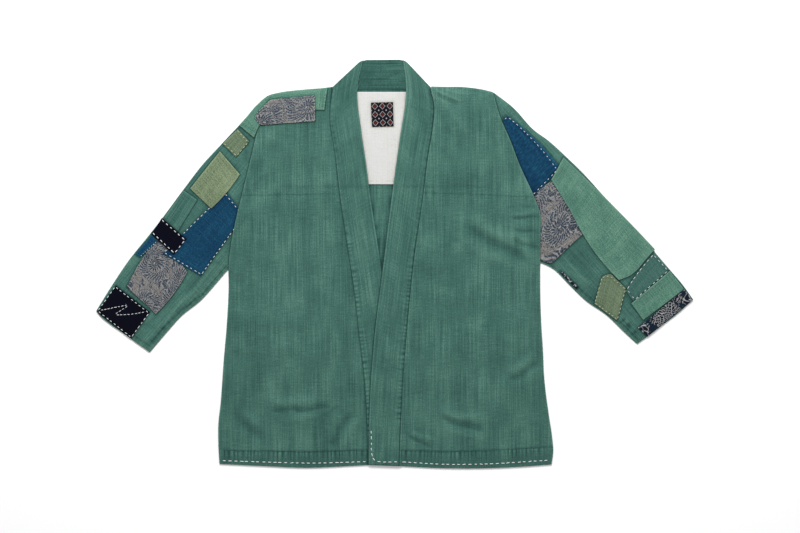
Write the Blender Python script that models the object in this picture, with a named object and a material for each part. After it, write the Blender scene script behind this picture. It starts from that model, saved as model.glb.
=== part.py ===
"""A patched noragi work jacket, laid flat with its front upwards.

Every sewn piece is a thin wall of cloth of its own: the back, two fronts, two
sleeves that are flattened tubes, one folded neck band that runs from hem round
the neck to hem, the yoke lining with its label, and the patches on the sleeves
and on one shoulder. Sizes are in millimetres in the tables and become metres in
the mesh. The tables measure from the middle of the hem line: across to the
right, up to the neck. Names with left and right go by the side as seen.
"""

from collections import namedtuple

import bmesh
import bpy
import numpy as np

MM = 0.001

# Walls and the air between them
CLOTH = 1.2
LINING_CLOTH = 1.0
PATCH_CLOTH = 1.0
BAND_CLOTH = 1.8
GAP = 0.3
SEAM = 0.6
BAND_GAP = 1.0

# How a layer climbs over the edge of one that lies below it
CLEAR = 11.0
RAMP = 38.0

# The middle of the whole outline, which becomes the origin
MIDDLE_ACROSS = 17.0
MIDDLE_UP = 372.3

ARM_SEAM = 1.3
ARM_TUCK = 13.0
NECK_SAG = 3.4
FOLD_REACH = 1.35

At = namedtuple("At", "across up")

SIDE_LEFT = (
    At(-307, 4), At(-309, 41), At(-309, 78), At(-305, 115), At(-299, 196),
    At(-293, 268), At(-290, 331), At(-290, 368), At(-287, 400), At(-277, 453),
    At(-263, 511), At(-245, 585), At(-235, 627), At(-212, 686),
)
SIDE_RIGHT = (
    At(307, 3), At(310, 30), At(308, 54), At(302, 94), At(293, 168),
    At(291, 215), At(288, 261), At(286, 326), At(286, 377), At(286, 427),
    At(286, 466), At(274, 499), At(249, 554), At(230, 603), At(213, 642),
    At(197, 689),
)
SHOULDERS = (
    At(-212, 686), At(-180, 690), At(-101, 697), At(-51, 694), At(38, 694),
    At(86, 697), At(165, 696), At(197, 689),
)
HEM = (
    At(-307, 4), At(-225, 0), At(-155, -3), At(-32, 2), At(26, 0), At(112, -4),
    At(185, -4), At(254, -1), At(307, 3),
)
HEM_LEFT = (At(-307, 4), At(-225, 0), At(-155, -3), At(-32, 2))
HEM_RIGHT = (At(26, 0), At(112, -4), At(185, -4), At(254, -1), At(307, 3))

# The neck band: its seam with the fronts and its free fold, hem to shoulder
BAND_SEAM_LEFT = (
    At(-32, 2), At(-33, 63), At(-38, 150), At(-48, 240), At(-60, 342),
    At(-71, 413), At(-83, 492), At(-93, 579), At(-102, 640), At(-99, 700),
)
BAND_FREE_LEFT = (
    At(24, 2), At(23, 63), At(18, 150), At(8, 240), At(-5, 342), At(-15, 413),
    At(-27, 492), At(-36, 560), At(-45, 622), At(-52, 694), At(-47, 749),
)
BAND_SEAM_RIGHT = (
    At(26, 0), At(29, 85), At(33, 157), At(40, 250), At(53, 381), At(69, 492),
    At(81, 585), At(87, 619), At(90, 672), At(84, 700),
)
BAND_FREE_RIGHT = (
    At(-31, 2), At(-30, 85), At(-27, 154), At(-21, 231), At(-5, 363),
    At(15, 524), At(26, 603), At(38, 694), At(37, 749),
)

# A sleeve: its upper fold and its underarm fold, armhole to cuff
Sleeve = namedtuple("Sleeve", "name side upper under")
SLEEVES = (
    Sleeve(
        "sleeve_left", -1,
        (At(-214, 685), At(-243, 660), At(-272, 629), At(-302, 597),
         At(-338, 558), At(-374, 511), At(-417, 453), At(-439, 425),
         At(-475, 380), At(-504, 337), At(-535, 287)),
        (At(-291, 364), At(-314, 337), At(-341, 307), At(-378, 277),
         At(-404, 248), At(-434, 214)),
    ),
    Sleeve(
        "sleeve_right", 1,
        (At(199, 688), At(236, 662), At(275, 621), At(301, 602), At(332, 574),
         At(364, 543), At(404, 499), At(447, 454), At(495, 399), At(525, 364),
         At(549, 336), At(569, 308)),
        (At(288, 376), At(308, 366), At(339, 336), At(369, 307), At(410, 278),
         At(441, 248), At(465, 226)),
    ),
)

# Patches in sewing order. Corners run round the piece, and bow is how far each
# side swells out of its straight line, from corner one to two and so on round.
Patch = namedtuple("Patch", "name cloth one two three four bow")
SLEEVE_PATCHES = (
    Patch("patch_left_strip", "green", (-373, 510), (-348, 492), (-384, 434),
          (-412, 456), (0, 0, 0, 0)),
    Patch("patch_left_print", "print", (-420, 422), (-366, 359), (-424, 281),
          (-478, 331), (2, 4, 0, 4)),
    Patch("patch_left_sliver", "blue", (-432, 427), (-421, 416), (-454, 386),
          (-462, 392), (0, 0, 0, 0)),
    Patch("patch_left_blue", "blue", (-295, 507), (-261, 464), (-341, 352),
          (-411, 393), (0, 0, 0, 0)),
    Patch("patch_left_cuff", "navy", (-498, 334), (-435, 285), (-471, 236),
          (-533, 285), (0, 0, 0, 0)),
    Patch("patch_left_navy", "navy", (-413, 459), (-368, 420), (-391, 391),
          (-435, 429), (0, 0, 0, 0)),
    Patch("patch_left_pale", "pale", (-306, 582), (-269, 539), (-322, 476),
          (-361, 513), (0, 3, 0, 0)),
    Patch("patch_left_olive", "olive", (-273, 623), (-252, 600), (-276, 571),
          (-301, 596), (0, 0, 0, 0)),
    Patch("patch_right_print", "print", (267, 502), (306, 528), (365, 429),
          (304, 373), (0, 2, 0, 1)),
    Patch("patch_right_blue", "blue", (216, 641), (225, 647), (323, 550),
          (268, 494), (0, 6, 0, -2)),
    Patch("patch_right_olive", "olive", (399, 349), (444, 328), (427, 269),
          (386, 299), (5, 0, 0, 0)),
    Patch("patch_right_light", "light", (329, 571), (498, 401), (429, 344),
          (306, 529), (2, 6, -7, 0)),
    Patch("patch_right_dark", "dark", (497, 394), (525, 363), (458, 305),
          (444, 324), (0, 0, 0, 3)),
    Patch("patch_right_stripe", "light", (525, 361), (552, 327), (476, 270),
          (454, 301), (0, 0, 0, 0)),
    Patch("patch_right_cuff", "night", (552, 327), (568, 308), (484, 239),
          (466, 256), (0, 0, 0, 0)),
)
SHOULDER_PATCHES = (
    Patch("patch_shoulder_light", "light", (-271, 627), (-106, 696),
          (-112, 659), (-243, 606), (22, 0, -6, 0)),
    Patch("patch_shoulder_print", "print", (-213, 678), (-131, 684),
          (-132, 638), (-236, 630), (0, 0, 0, -3)),
)

# Soft folds: a ridge between two points, with its half width and its height
Fold = namedtuple("Fold", "piece start end half height")
FOLDS = (
    Fold("front_right", At(142, 452), At(250, 396), 34, 1.8),
    Fold("front_right", At(170, 404), At(238, 366), 30, 1.2),
    Fold("front_right", At(225, 180), At(270, 196), 30, 1.3),
    Fold("front_right", At(100, 78), At(190, 52), 30, 1.4),
    Fold("front_left", At(-262, 560), At(-170, 536), 34, 1.4),
    Fold("front_left", At(-230, 92), At(-110, 104), 34, 1.6),
    Fold("front_left", At(-280, 300), At(-190, 330), 40, 1.2),
    Fold("sleeve_left", At(-300, 420), At(-360, 350), 45, 0.8),
    Fold("sleeve_right", At(300, 440), At(360, 370), 45, 0.8),
)

# Cloth colours as they look, 0 to 255, and how matt each is
Cloth = namedtuple("Cloth", "red green blue rough")
CLOTHS = {
    "green": Cloth(74, 118, 106, 0.9),
    "light": Cloth(104, 145, 128, 0.9),
    "dark": Cloth(62, 102, 94, 0.9),
    "blue": Cloth(32, 74, 103, 0.9),
    "navy": Cloth(14, 17, 33, 0.9),
    "night": Cloth(44, 48, 62, 0.9),
    "pale": Cloth(132, 147, 110, 0.9),
    "olive": Cloth(110, 128, 101, 0.9),
    "print": Cloth(112, 112, 116, 0.9),
    "lining": Cloth(225, 224, 219, 0.9),
    "label": Cloth(34, 32, 44, 0.8),
}


def smooth_line(points, count):
    """Points evenly spread along a smooth line through a table's rows."""
    rows = np.array(points, dtype=float)
    steps = np.linalg.norm(np.diff(rows, axis=0), axis=1)
    run = np.concatenate(([0.0], np.cumsum(steps)))
    slope = np.gradient(rows, run, axis=0)
    want = np.linspace(0.0, run[-1], count)
    k = np.clip(np.searchsorted(run, want, side="right") - 1, 0, len(run) - 2)
    span = (run[k + 1] - run[k])[:, None]
    t = (want - run[k])[:, None] / span
    h_start = 2 * t ** 3 - 3 * t ** 2 + 1
    h_end = 1 - h_start
    m_start = (t ** 3 - 2 * t ** 2 + t) * span
    m_end = (t ** 3 - t ** 2) * span
    return (h_start * rows[k] + h_end * rows[k + 1]
            + m_start * slope[k] + m_end * slope[k + 1])


def corner_line(points, count):
    """Points evenly spread along the straight stretches between the rows."""
    rows = np.array(points, dtype=float)
    steps = np.linalg.norm(np.diff(rows, axis=0), axis=1)
    run = np.concatenate(([0.0], np.cumsum(steps)))
    want = np.linspace(0.0, run[-1], count)
    return np.stack([np.interp(want, run, rows[:, c]) for c in (0, 1)], axis=1)


def bowed_side(start, end, bow, count):
    """A side of a patch, bowed out to the left of its direction."""
    start, end = np.array(start, float), np.array(end, float)
    t = np.linspace(0.0, 1.0, count)[:, None]
    run = end - start
    out = np.array((-run[1], run[0])) / np.linalg.norm(run)
    return start + run * t + out * bow * 4 * t * (1 - t)


def fill_in(low, high, left, right):
    """A net between four edges that meet at their ends (a Coons surface)."""
    u = np.linspace(0, 1, len(low))[None, :, None]
    v = np.linspace(0, 1, len(left))[:, None, None]
    across = (1 - u) * left[:, None] + u * right[:, None]
    along = (1 - v) * low[None] + v * high[None]
    twist = ((1 - u) * (1 - v) * low[0] + u * (1 - v) * low[-1]
             + (1 - u) * v * high[0] + u * v * high[-1])
    return across + along - twist


def border(net):
    """The outline of a net, once round."""
    return np.concatenate(
        (net[0, :-1], net[:-1, -1], net[-1, :0:-1], net[:0:-1, 0]))


def beyond(points, outline):
    """How far each point lies outside an outline, nought inside it."""
    flat = points.reshape(-1, 2)
    a, b = outline, np.roll(outline, -1, axis=0)
    run = b - a
    length = np.maximum((run ** 2).sum(1), 1e-9)
    away = flat[:, None] - a[None]
    t = np.clip((away * run).sum(2) / length, 0, 1)
    near = np.linalg.norm(away - t[..., None] * run, axis=2).min(1)
    straddle = (a[None, :, 1] > flat[:, None, 1]) != (
        b[None, :, 1] > flat[:, None, 1])
    rise = np.where(np.abs(run[:, 1]) < 1e-9, 1e-9, run[:, 1])
    cut = a[None, :, 0] + (flat[:, None, 1] - a[None, :, 1]) * (
        run[:, 0] / rise)
    inside = ((straddle & (flat[:, None, 0] < cut)).sum(1) % 2) == 1
    return np.where(inside, 0.0, near).reshape(points.shape[:-1])


def soft_step(value):
    """Nought to one with a level start and end."""
    value = np.clip(value, 0.0, 1.0)
    return value * value * (3 - 2 * value)


def fold_height(piece, points):
    """The height that the soft folds of one piece add at each point."""
    total = np.zeros(points.shape[:-1])
    for fold in FOLDS:
        if fold.piece != piece:
            continue
        start, end = np.array(fold.start), np.array(fold.end)
        run = end - start
        t = np.clip(((points - start) @ run) / (run @ run), 0, 1)
        away = np.linalg.norm(points - start - t[..., None] * run, axis=-1)
        total += fold.height * soft_step(1 - away / fold.half)
    return total


class Heap:
    """The cloth layers in the order in which they lie on each other."""

    def __init__(self):
        self.layers = []

    def lay(self, name, net, thick, beside=(), floor=False):
        """Put a layer on the heap and give the height of its underside."""
        layer = (name, border(net), thick, set(beside), floor)
        self.layers.append(layer)
        return self.underside(name, net)

    def underside(self, name, points):
        """The height of a layer's underside at any points."""
        tops = []
        for other, outline, thick, beside, floor in self.layers:
            base = np.zeros(points.shape[:-1])
            if not floor:
                for top, cover, below in tops:
                    if below not in beside:
                        rise = np.maximum(top + GAP - base, 0)
                        base = base + rise * cover
                base = base + fold_height(other, points)
            if other == name:
                return base
            cover = soft_step(1 - (beyond(points, outline) - CLEAR) / RAMP)
            tops.append((base + thick, cover, other))
        return None


def lift(net, height):
    """Add heights to a flat net and move it to the origin, in metres."""
    solid = np.concatenate((net, np.asarray(height)[..., None]), axis=-1)
    return (solid - (MIDDLE_ACROSS, MIDDLE_UP, 0.0)) * MM


def dress(name, cloth):
    """One plain cloth material for one piece."""
    row = CLOTHS[cloth]
    shade = [(c / 255) ** 2.2 for c in (row.red, row.green, row.blue)]
    material = bpy.data.materials.new(name)
    material.use_nodes = True
    shader = material.node_tree.nodes["Principled BSDF"]
    shader.inputs["Base Color"].default_value = (*shade, 1)
    shader.inputs["Roughness"].default_value = row.rough
    shader.inputs["Metallic"].default_value = 0
    material.diffuse_color = (*shade, 1)
    return material


def put_together(name, cloth, points, faces):
    """Make the object of one piece, its faces turned outwards."""
    mesh = bpy.data.meshes.new(name)
    mesh.from_pydata(points.tolist(), [], faces)
    form = bmesh.new()
    form.from_mesh(mesh)
    bmesh.ops.recalc_face_normals(form, faces=form.faces)
    if form.calc_volume(signed=True) < 0:
        bmesh.ops.reverse_faces(form, faces=form.faces)
    form.to_mesh(mesh)
    form.free()
    mesh.shade_smooth()
    mesh.set_sharp_from_angle(angle=0.6)
    mesh.materials.append(dress(name, cloth))
    piece = bpy.data.objects.new(name, mesh)
    bpy.context.scene.collection.objects.link(piece)
    return piece


def sew_wall(name, cloth, over, under):
    """A wall between an upper and a lower net, closed round its edge."""
    rows, cols = over.shape[:2]
    index = np.arange(rows * cols).reshape(rows, cols)
    far = index + rows * cols
    faces = []
    for r in range(rows - 1):
        for c in range(cols - 1):
            faces.append([index[r, c], index[r, c + 1],
                          index[r + 1, c + 1], index[r + 1, c]])
            faces.append([far[r, c], far[r + 1, c],
                          far[r + 1, c + 1], far[r, c + 1]])
    ring, ring_far = border(index[..., None]), border(far[..., None])
    for k in range(len(ring)):
        n = (k + 1) % len(ring)
        faces.append([ring[k, 0], ring_far[k, 0], ring_far[n, 0], ring[n, 0]])
    points = np.concatenate((over.reshape(-1, 3), under.reshape(-1, 3)))
    faces = [[int(i) for i in face] for face in faces]
    return put_together(name, cloth, points, faces)


def sew_tube(name, cloth, outer, inner):
    """A tube between an outer and an inner skin, open at both ends."""
    rows, cols = outer.shape[:2]
    faces = []
    for skin in (0, rows * cols):
        for r in range(rows - 1):
            for c in range(cols):
                n = (c + 1) % cols
                a, b = skin + r * cols, skin + (r + 1) * cols
                faces.append([a + c, a + n, b + n, b + c])
    for row in (0, rows - 1):
        for c in range(cols):
            n = (c + 1) % cols
            a, b = row * cols, rows * cols + row * cols
            faces.append([a + c, b + c, b + n, a + n])
    points = np.concatenate((outer.reshape(-1, 3), inner.reshape(-1, 3)))
    return put_together(name, cloth, points, faces)


def patch_net(patch, cell=13.0):
    """The net of one patch from its corners and the bows of its sides."""
    wide = np.linalg.norm(np.subtract(patch.two, patch.one))
    deep = np.linalg.norm(np.subtract(patch.three, patch.two))
    cols = max(3, int(round(wide / cell)) + 1)
    rows = max(3, int(round(deep / cell)) + 1)
    high = bowed_side(patch.one, patch.two, patch.bow[0], cols)
    right = bowed_side(patch.two, patch.three, patch.bow[1], rows)
    low = bowed_side(patch.three, patch.four, patch.bow[2], cols)[::-1]
    left = bowed_side(patch.four, patch.one, patch.bow[3], rows)[::-1]
    return fill_in(high, low, left, right)


def flat_piece(heap, name, cloth, net, thick, beside=(), floor=False):
    """Lay a piece on the heap and make its wall."""
    base = heap.lay(name, net, thick, beside, floor)
    return sew_wall(name, cloth, lift(net, base + thick), lift(net, base))


def armhole(sleeve, offset, count, tuck=0.0):
    """The armhole line of a sleeve, shifted outwards, or tucked inwards."""
    rail = SIDE_LEFT if sleeve.side < 0 else SIDE_RIGHT
    low = sleeve.under[0].up
    rows = [sleeve.upper[0]]
    rows += [p for p in reversed(rail) if low + 8 < p.up < 660]
    rows.append(sleeve.under[0])
    line = smooth_line(rows, count)
    t = np.linspace(0, 1, count)
    inward = tuck * soft_step(np.minimum(t, 1 - t) / 0.14)
    line[:, 0] += sleeve.side * (offset - inward)
    return line


def sleeve_net(sleeve, rows, cols, tuck):
    """The net of a sleeve's wall, from upper fold to underarm fold."""
    start = armhole(sleeve, ARM_SEAM, cols, tuck)
    end = smooth_line((sleeve.upper[-1], sleeve.under[-1]), cols)
    upper = smooth_line(sleeve.upper, rows)
    under = smooth_line(sleeve.under, rows)
    upper[0], under[0] = start[0], start[-1]
    return fill_in(start, end, upper, under)


def lay_sleeve(heap, sleeve, rows=21, cols=16):
    """A flattened sleeve: two walls that lie on each other, folds rounded."""
    above = sleeve_net(sleeve, rows, cols, ARM_TUCK)
    below = sleeve_net(sleeve, rows, cols, 0.0)
    heap.lay(sleeve.name + "_lower", below, CLOTH, floor=True)
    rest = heap.lay(sleeve.name, above, CLOTH, beside=("yoke_lining",))

    def drawn_in(net):
        """The net with its two long edges drawn in by the fold's reach."""
        out = net.copy()
        for edge, next_in in ((0, 1), (-1, -2)):
            way = net[:, next_in] - net[:, edge]
            way /= np.linalg.norm(way, axis=1)[:, None]
            out[:, edge] += way * FOLD_REACH
        return out

    above, below = drawn_in(above), drawn_in(below)

    def turn(edge, next_in, top, bottom, reach, angles):
        """The points of a rounded fold from the upper to the lower wall."""
        centre = (above[:, edge] + below[:, edge]) / 2
        out = centre - (above[:, next_in] + below[:, next_in]) / 2
        out /= np.linalg.norm(out, axis=1)[:, None]
        middle, tall = (top + bottom) / 2, (top - bottom) / 2
        columns = []
        for angle in angles:
            place = centre + out * reach * np.sin(angle)
            height = middle + tall * np.cos(angle)
            columns.append(np.concatenate((place, height[:, None]), axis=1))
        return np.stack(columns, axis=1)

    def ring(top, bottom, reach):
        """One skin: upper wall, underarm fold, lower wall, upper fold."""
        angles = np.radians((60, 120))
        upper = np.concatenate((above, top[..., None]), axis=2)
        lower = np.concatenate(
            (below, np.full(below.shape[:2], bottom)[..., None]), axis=2)
        under_fold = turn(-1, -2, top[:, -1], bottom, reach, angles)
        upper_fold = turn(0, 1, top[:, 0], bottom, reach, angles[::-1])
        net = np.concatenate(
            (upper, under_fold, lower[:, ::-1], upper_fold), axis=1)
        return (net - (MIDDLE_ACROSS, MIDDLE_UP, 0.0)) * MM

    outer = ring(rest + CLOTH, 0.0, FOLD_REACH)
    inner = ring(rest, CLOTH, 0.15)
    return sew_tube(sleeve.name, "green", outer, inner)


def lay_band(heap):
    """The neck band: one folded strip from hem round the neck to hem."""
    rows, cols, back_rows = 34, 4, 7
    share = np.linspace(0, 1, cols)[None, :, None]
    sides = {}
    for side, seam, free in (("left", BAND_SEAM_LEFT, BAND_FREE_LEFT),
                             ("right", BAND_SEAM_RIGHT, BAND_FREE_RIGHT)):
        seam = smooth_line(seam, rows)
        free = smooth_line(free, rows)
        sides[side] = seam[:, None] * (1 - share) + free[:, None] * share
    corner_left, corner_right = sides["left"][-1], sides["right"][-1]
    t = np.linspace(0, 1, back_rows)[:, None, None]
    sag = NECK_SAG * np.sin(np.pi * t) * (1 - share) * np.array((0.0, 1.0))
    back = corner_left[None] * (1 - t) + corner_right[None] * t - sag
    heap.lay("band_back", back, BAND_CLOTH, floor=True)
    left_rest = heap.lay(
        "band_left", sides["left"], BAND_CLOTH, beside=("front_left",))
    right_rest = heap.lay(
        "band_right", sides["right"], BAND_CLOTH,
        beside=("front_left", "front_right"))

    def fold_line(side):
        """The diagonal fold, drawn in, with the way out of it in plan."""
        line = sides[side][-1].copy()
        run = line[-1] - line[0]
        out = np.array((-run[1], run[0])) / np.linalg.norm(run)
        return line, out if side == "left" else -out

    def strip(side, rest, outside):
        """One front stretch and its fold, with the fold's rounded turn."""
        line, out = fold_line(side)
        top = rest[-1] + (BAND_CLOTH if outside else 0.0)
        bottom = 0.0 if outside else BAND_CLOTH
        reach = np.max(rest[-1] + BAND_CLOTH) / 2
        net = sides[side].copy()
        height = rest + (BAND_CLOTH if outside else 0.0)
        net[-1] = line - out * reach
        turned = []
        arm = reach if outside else (np.max(rest[-1]) - BAND_CLOTH) / 2
        for angle in np.radians((45, 90, 135, 180)):
            place = line + out * (arm * np.sin(angle) - reach)
            level = (top + bottom) / 2 + (top - bottom) / 2 * np.cos(angle)
            turned.append(np.concatenate((place, level[:, None]), axis=1))
        flat = np.concatenate((net, height[..., None]), axis=2)
        return np.concatenate((flat, np.stack(turned)), axis=0)

    def skin(outside):
        """One whole skin of the band, hem to hem."""
        left = strip("left", left_rest, outside)
        right = strip("right", right_rest, outside)
        level = 0.0 if outside else BAND_CLOTH
        start, end = left[-1, :, :2], right[-1, :, :2]
        middle = (start[None] * (1 - t[1:-1]) + end[None] * t[1:-1]
                  - sag[1:-1])
        middle = np.concatenate(
            (middle, np.full(middle.shape[:2], level)[..., None]), axis=2)
        net = np.concatenate((left, middle, right[::-1]), axis=0)
        return (net - (MIDDLE_ACROSS, MIDDLE_UP, 0.0)) * MM

    return sew_wall("neck_band", "green", skin(True), skin(False))


def body_net(side, seam, hem, top, rows=27, cols=15):
    """The net of one front, from its side to the band's seam."""
    side, seam = smooth_line(side, rows), smooth_line(seam, rows)
    hem, top = smooth_line(hem, cols), smooth_line(top, cols)
    side[0], seam[0], side[-1], seam[-1] = hem[0], hem[-1], top[0], top[-1]
    return fill_in(hem, top, side, seam)


def main():
    """Clear the scene and lay the pieces, lowest first."""
    for old in list(bpy.data.objects):
        bpy.data.objects.remove(old, do_unlink=True)
    heap = Heap()

    rows, cols = 53, 29
    hem = smooth_line(HEM, cols)
    top = corner_line(SHOULDERS, cols) - (0, SEAM)
    left, right = smooth_line(SIDE_LEFT, rows), smooth_line(SIDE_RIGHT, rows)
    left[0], right[0], left[-1], right[-1] = hem[0], hem[-1], top[0], top[-1]
    back = fill_in(hem, top, left, right)
    flat_piece(heap, "back", "green", back, CLOTH, floor=True)

    lining = fill_in(corner_line((At(-194, 521), At(192, 521)), 24),
                     corner_line((At(-194, 684), At(-51, 692), At(38, 692),
                                  At(192, 685)), 24),
                     corner_line((At(-194, 521), At(-194, 684)), 11),
                     corner_line((At(192, 521), At(192, 685)), 11))
    flat_piece(heap, "yoke_lining", "lining", lining, LINING_CLOTH)
    label = Patch("neck_label", "label", (-27, 672), (14, 673), (15, 628),
                  (-25, 627), (0, 0, 0, 0))
    flat_piece(heap, label.name, label.cloth, patch_net(label), PATCH_CLOTH)

    for sleeve in SLEEVES:
        lay_sleeve(heap, sleeve)
    for patch in SLEEVE_PATCHES:
        flat_piece(heap, patch.name, patch.cloth, patch_net(patch),
                   PATCH_CLOTH)

    seam_left = np.array(BAND_SEAM_LEFT) - (BAND_GAP, 0)
    seam_right = np.array(BAND_SEAM_RIGHT) + (BAND_GAP, 0)
    hem_left = HEM_LEFT[:-1] + (At(*seam_left[0]),)
    hem_right = (At(*seam_right[0]),) + HEM_RIGHT[1:]
    top_left = (At(-212, 686), At(-180, 690), At(-150, 693), seam_left[-1])
    top_right = (seam_right[-1], At(125, 697), At(165, 696), At(197, 689))
    front_left = body_net(SIDE_LEFT, seam_left, hem_left, top_left)
    flat_piece(heap, "front_left", "green", front_left, CLOTH)
    lay_band(heap)
    front_right = body_net(
        seam_right, SIDE_RIGHT, hem_right, top_right)
    flat_piece(heap, "front_right", "green", front_right, CLOTH,
               beside=("band_right",))
    for patch in SHOULDER_PATCHES:
        flat_piece(heap, patch.name, patch.cloth, patch_net(patch, 10.0),
                   PATCH_CLOTH, beside=("band_left", "band_back"))


main()
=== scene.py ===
"""A patched noragi work jacket laid flat, seen from straight above.

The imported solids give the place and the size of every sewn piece. This script
dresses them: each piece becomes a thin shell of cloth on a fine net, laid on
the pieces below it, with its folds, seam puckers and rounded edges, and then
come the running stitches, the stitched hems and the finishes. Tables are in
millimetres from the middle of the hem line, across to the right and up to the
neck. Left and right are the sides as seen from above.
"""

from __future__ import annotations

import logging
from collections.abc import Iterable, Sequence
from dataclasses import dataclass, field
from enum import Enum

import bpy
import numpy as np
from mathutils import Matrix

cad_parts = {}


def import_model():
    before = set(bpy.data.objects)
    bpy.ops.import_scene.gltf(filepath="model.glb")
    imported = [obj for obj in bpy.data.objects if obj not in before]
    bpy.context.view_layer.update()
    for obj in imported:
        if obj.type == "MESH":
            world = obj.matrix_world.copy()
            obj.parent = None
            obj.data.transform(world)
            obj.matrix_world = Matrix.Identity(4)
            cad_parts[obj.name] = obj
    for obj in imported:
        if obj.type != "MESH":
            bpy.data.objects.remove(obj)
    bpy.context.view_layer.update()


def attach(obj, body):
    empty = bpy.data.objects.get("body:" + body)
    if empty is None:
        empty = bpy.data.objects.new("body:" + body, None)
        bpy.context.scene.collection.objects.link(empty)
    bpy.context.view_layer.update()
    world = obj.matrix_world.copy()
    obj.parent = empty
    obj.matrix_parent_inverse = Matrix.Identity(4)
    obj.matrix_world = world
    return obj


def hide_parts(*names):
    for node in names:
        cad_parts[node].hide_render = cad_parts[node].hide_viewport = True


LOG = logging.getLogger("jacket")

Point = tuple[float, float]
Line = tuple[Point, ...]

MM = 0.001
MIDDLE = (17.0, 372.3)

CLOTH = 1.2
LINING_CLOTH = 1.0
PATCH_CLOTH = 1.0
BAND_CLOTH = 1.8
GAP = 0.3
SEAM = 0.6
BAND_GAP = -0.9
ARM_SEAM = 1.3
ARM_TUCK = 13.0
NECK_SAG = 3.4
FOLD_REACH = 1.5
# The neck band's width and the length of its front stretches
BAND_WIDE = 56.0
BAND_LONG = 760.0
# Where the turned-in hem ends above the hem line
HEM_TOP = 31.0
# How far in from its edge the neck band is rounded, and where its hem line is
BAND_RIM = 1.3
BAND_HEM = 4.2
# Over how much of its end a front stretch shortens towards its turned fold
BAND_TURN = 45.0
# How far in from their edges fronts and patches are rounded
FRONT_RIM = 1.4
PATCH_RIM = 0.9
# How far in from the edge of a cloth its folds come to their full height
FOLD_EASE = 14.0
# How wide the groove of a seam is, and the painted shadow line in it
SEAM_GROOVE = 1.4
SEAM_LINE = 1.5
# How far an upper edge paints shade on the cloth below it, and how strongly
SHADE_REACH = 9.0
SHADE_MOST = 1.3
SHADE_SHARE = 1.5
# How far out the inner skin of a sleeve reaches at its folds
INNER_REACH = 0.25
# A place in mm that is far from every piece
FAR_OFF = -9999.0
# The least width or length that a patch's cut is given at
LEAST_CUT = 10.2
# The cut of a sleeve, all round by its length, in metres
SLEEVE_SHEET = (0.5, 0.53)

# How closely an upper layer follows the edge of a lower one
CLEAR = 0.7
RAMP = 7.0
# How wide the painted shadow beside an upper cloth's edge is
EDGE_SHADOW_WIDTH = 1.6

SIDE_LEFT: Line = (
    (-307, 4), (-309, 41), (-309, 78), (-305, 115), (-299, 196), (-293, 268),
    (-290, 331), (-290, 368), (-287, 400), (-277, 453), (-263, 511),
    (-245, 585), (-235, 627), (-213, 684.5),
)
SIDE_RIGHT: Line = (
    (307, 3), (310, 30), (308, 54), (302, 94), (293, 168), (291, 215),
    (288, 261), (286, 326), (286, 377), (286, 427), (286, 466), (274, 499),
    (249, 554), (230, 603), (213, 642), (198.5, 691.5),
)
SHOULDERS: Line = (
    (-212, 686), (-180, 690), (-101, 698), (-51, 697), (38, 697), (86, 698),
    (165, 696), (197, 689),
)
HEM: Line = (
    (-307, 4), (-225, 0), (-155, -3), (-32, 2), (26, 0), (112, -4),
    (185, -4), (254, -1), (307, 3),
)
BAND_SEAM_LEFT: Line = (
    (-32, 2), (-33, 63), (-38, 150), (-48, 240), (-60, 342), (-71, 413),
    (-83, 492), (-93, 579), (-102, 640), (-99, 700),
)
BAND_FREE_LEFT: Line = (
    (24, 2), (23, 63), (18, 150), (8, 240), (-5, 342), (-15, 413),
    (-27, 492), (-36, 560), (-45, 622), (-52, 694), (-43, 752.5),
)
BAND_SEAM_RIGHT: Line = (
    (26, 0), (29, 85), (33, 157), (40, 250), (53, 381), (69, 492), (81, 585),
    (87, 619), (90, 672), (84, 700),
)
BAND_FREE_RIGHT: Line = (
    (-31, 2), (-30, 85), (-27, 154), (-21, 231), (-5, 363), (15, 524),
    (26, 603), (38, 694), (34, 753),
)


class Cloth(Enum):
    """The cloths of the jacket, by the record's material slots."""

    GREEN = "green_cloth"
    LIGHT = "light_cloth"
    DARK = "dark_cloth"
    BLUE = "blue_cloth"
    NAVY = "navy_cloth"
    NIGHT = "night_print"
    PALE = "pale_cloth"
    OLIVE = "olive_cloth"
    PRINT = "grey_print"
    LINING = "lining_cloth"
    LABEL = "label_cloth"


class Thread(Enum):
    """The sewing threads, by the name of their finish."""

    WHITE = "white_thread"
    CREAM = "cream_thread"
    SELF = "green_thread"
    SHADE = "dark_thread"


# ---- lines and nets ----


def even(count: int) -> np.ndarray:
    """Evenly spread stations from nought to one."""
    return np.linspace(0.0, 1.0, count)


def stations(length: float, cell: float, low: float = 0.6,
             high: float = 0.6, reach: float = 5.0) -> np.ndarray:
    """Stations along a length that crowd towards its two ends.

    The cell size grows from low or high at an end to cell over the reach, and
    the stations are the even steps of the summed count of cells.

    Args:
        length: The length in mm.
        cell: The cell size in the middle.
        low: The cell size at the start.
        high: The cell size at the end.
        reach: How far the finer cells reach in from an end.

    Returns:
        Stations from nought to one.
    """
    s = np.linspace(0.0, length, 1500)
    start = low + (cell - low) * soft_step(s / reach)
    end = high + (cell - high) * soft_step((length - s) / reach)
    dense = 1.0 / np.minimum(np.minimum(start, end), cell)
    count = np.concatenate(([0.0], np.cumsum((dense[1:] + dense[:-1]) / 2)))
    count *= s[1]
    steps = int(np.ceil(count[-1]))
    return np.interp(np.linspace(0, count[-1], steps + 1), count, s) / length


def soft_step(value: np.ndarray) -> np.ndarray:
    """Nought to one with a level start and end."""
    value = np.clip(value, 0.0, 1.0)
    return value * value * (3 - 2 * value)


def run_of(rows: np.ndarray) -> np.ndarray:
    """The length along a line of points, at each point."""
    steps = np.linalg.norm(np.diff(rows, axis=0), axis=1)
    return np.concatenate(([0.0], np.cumsum(steps)))


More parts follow.
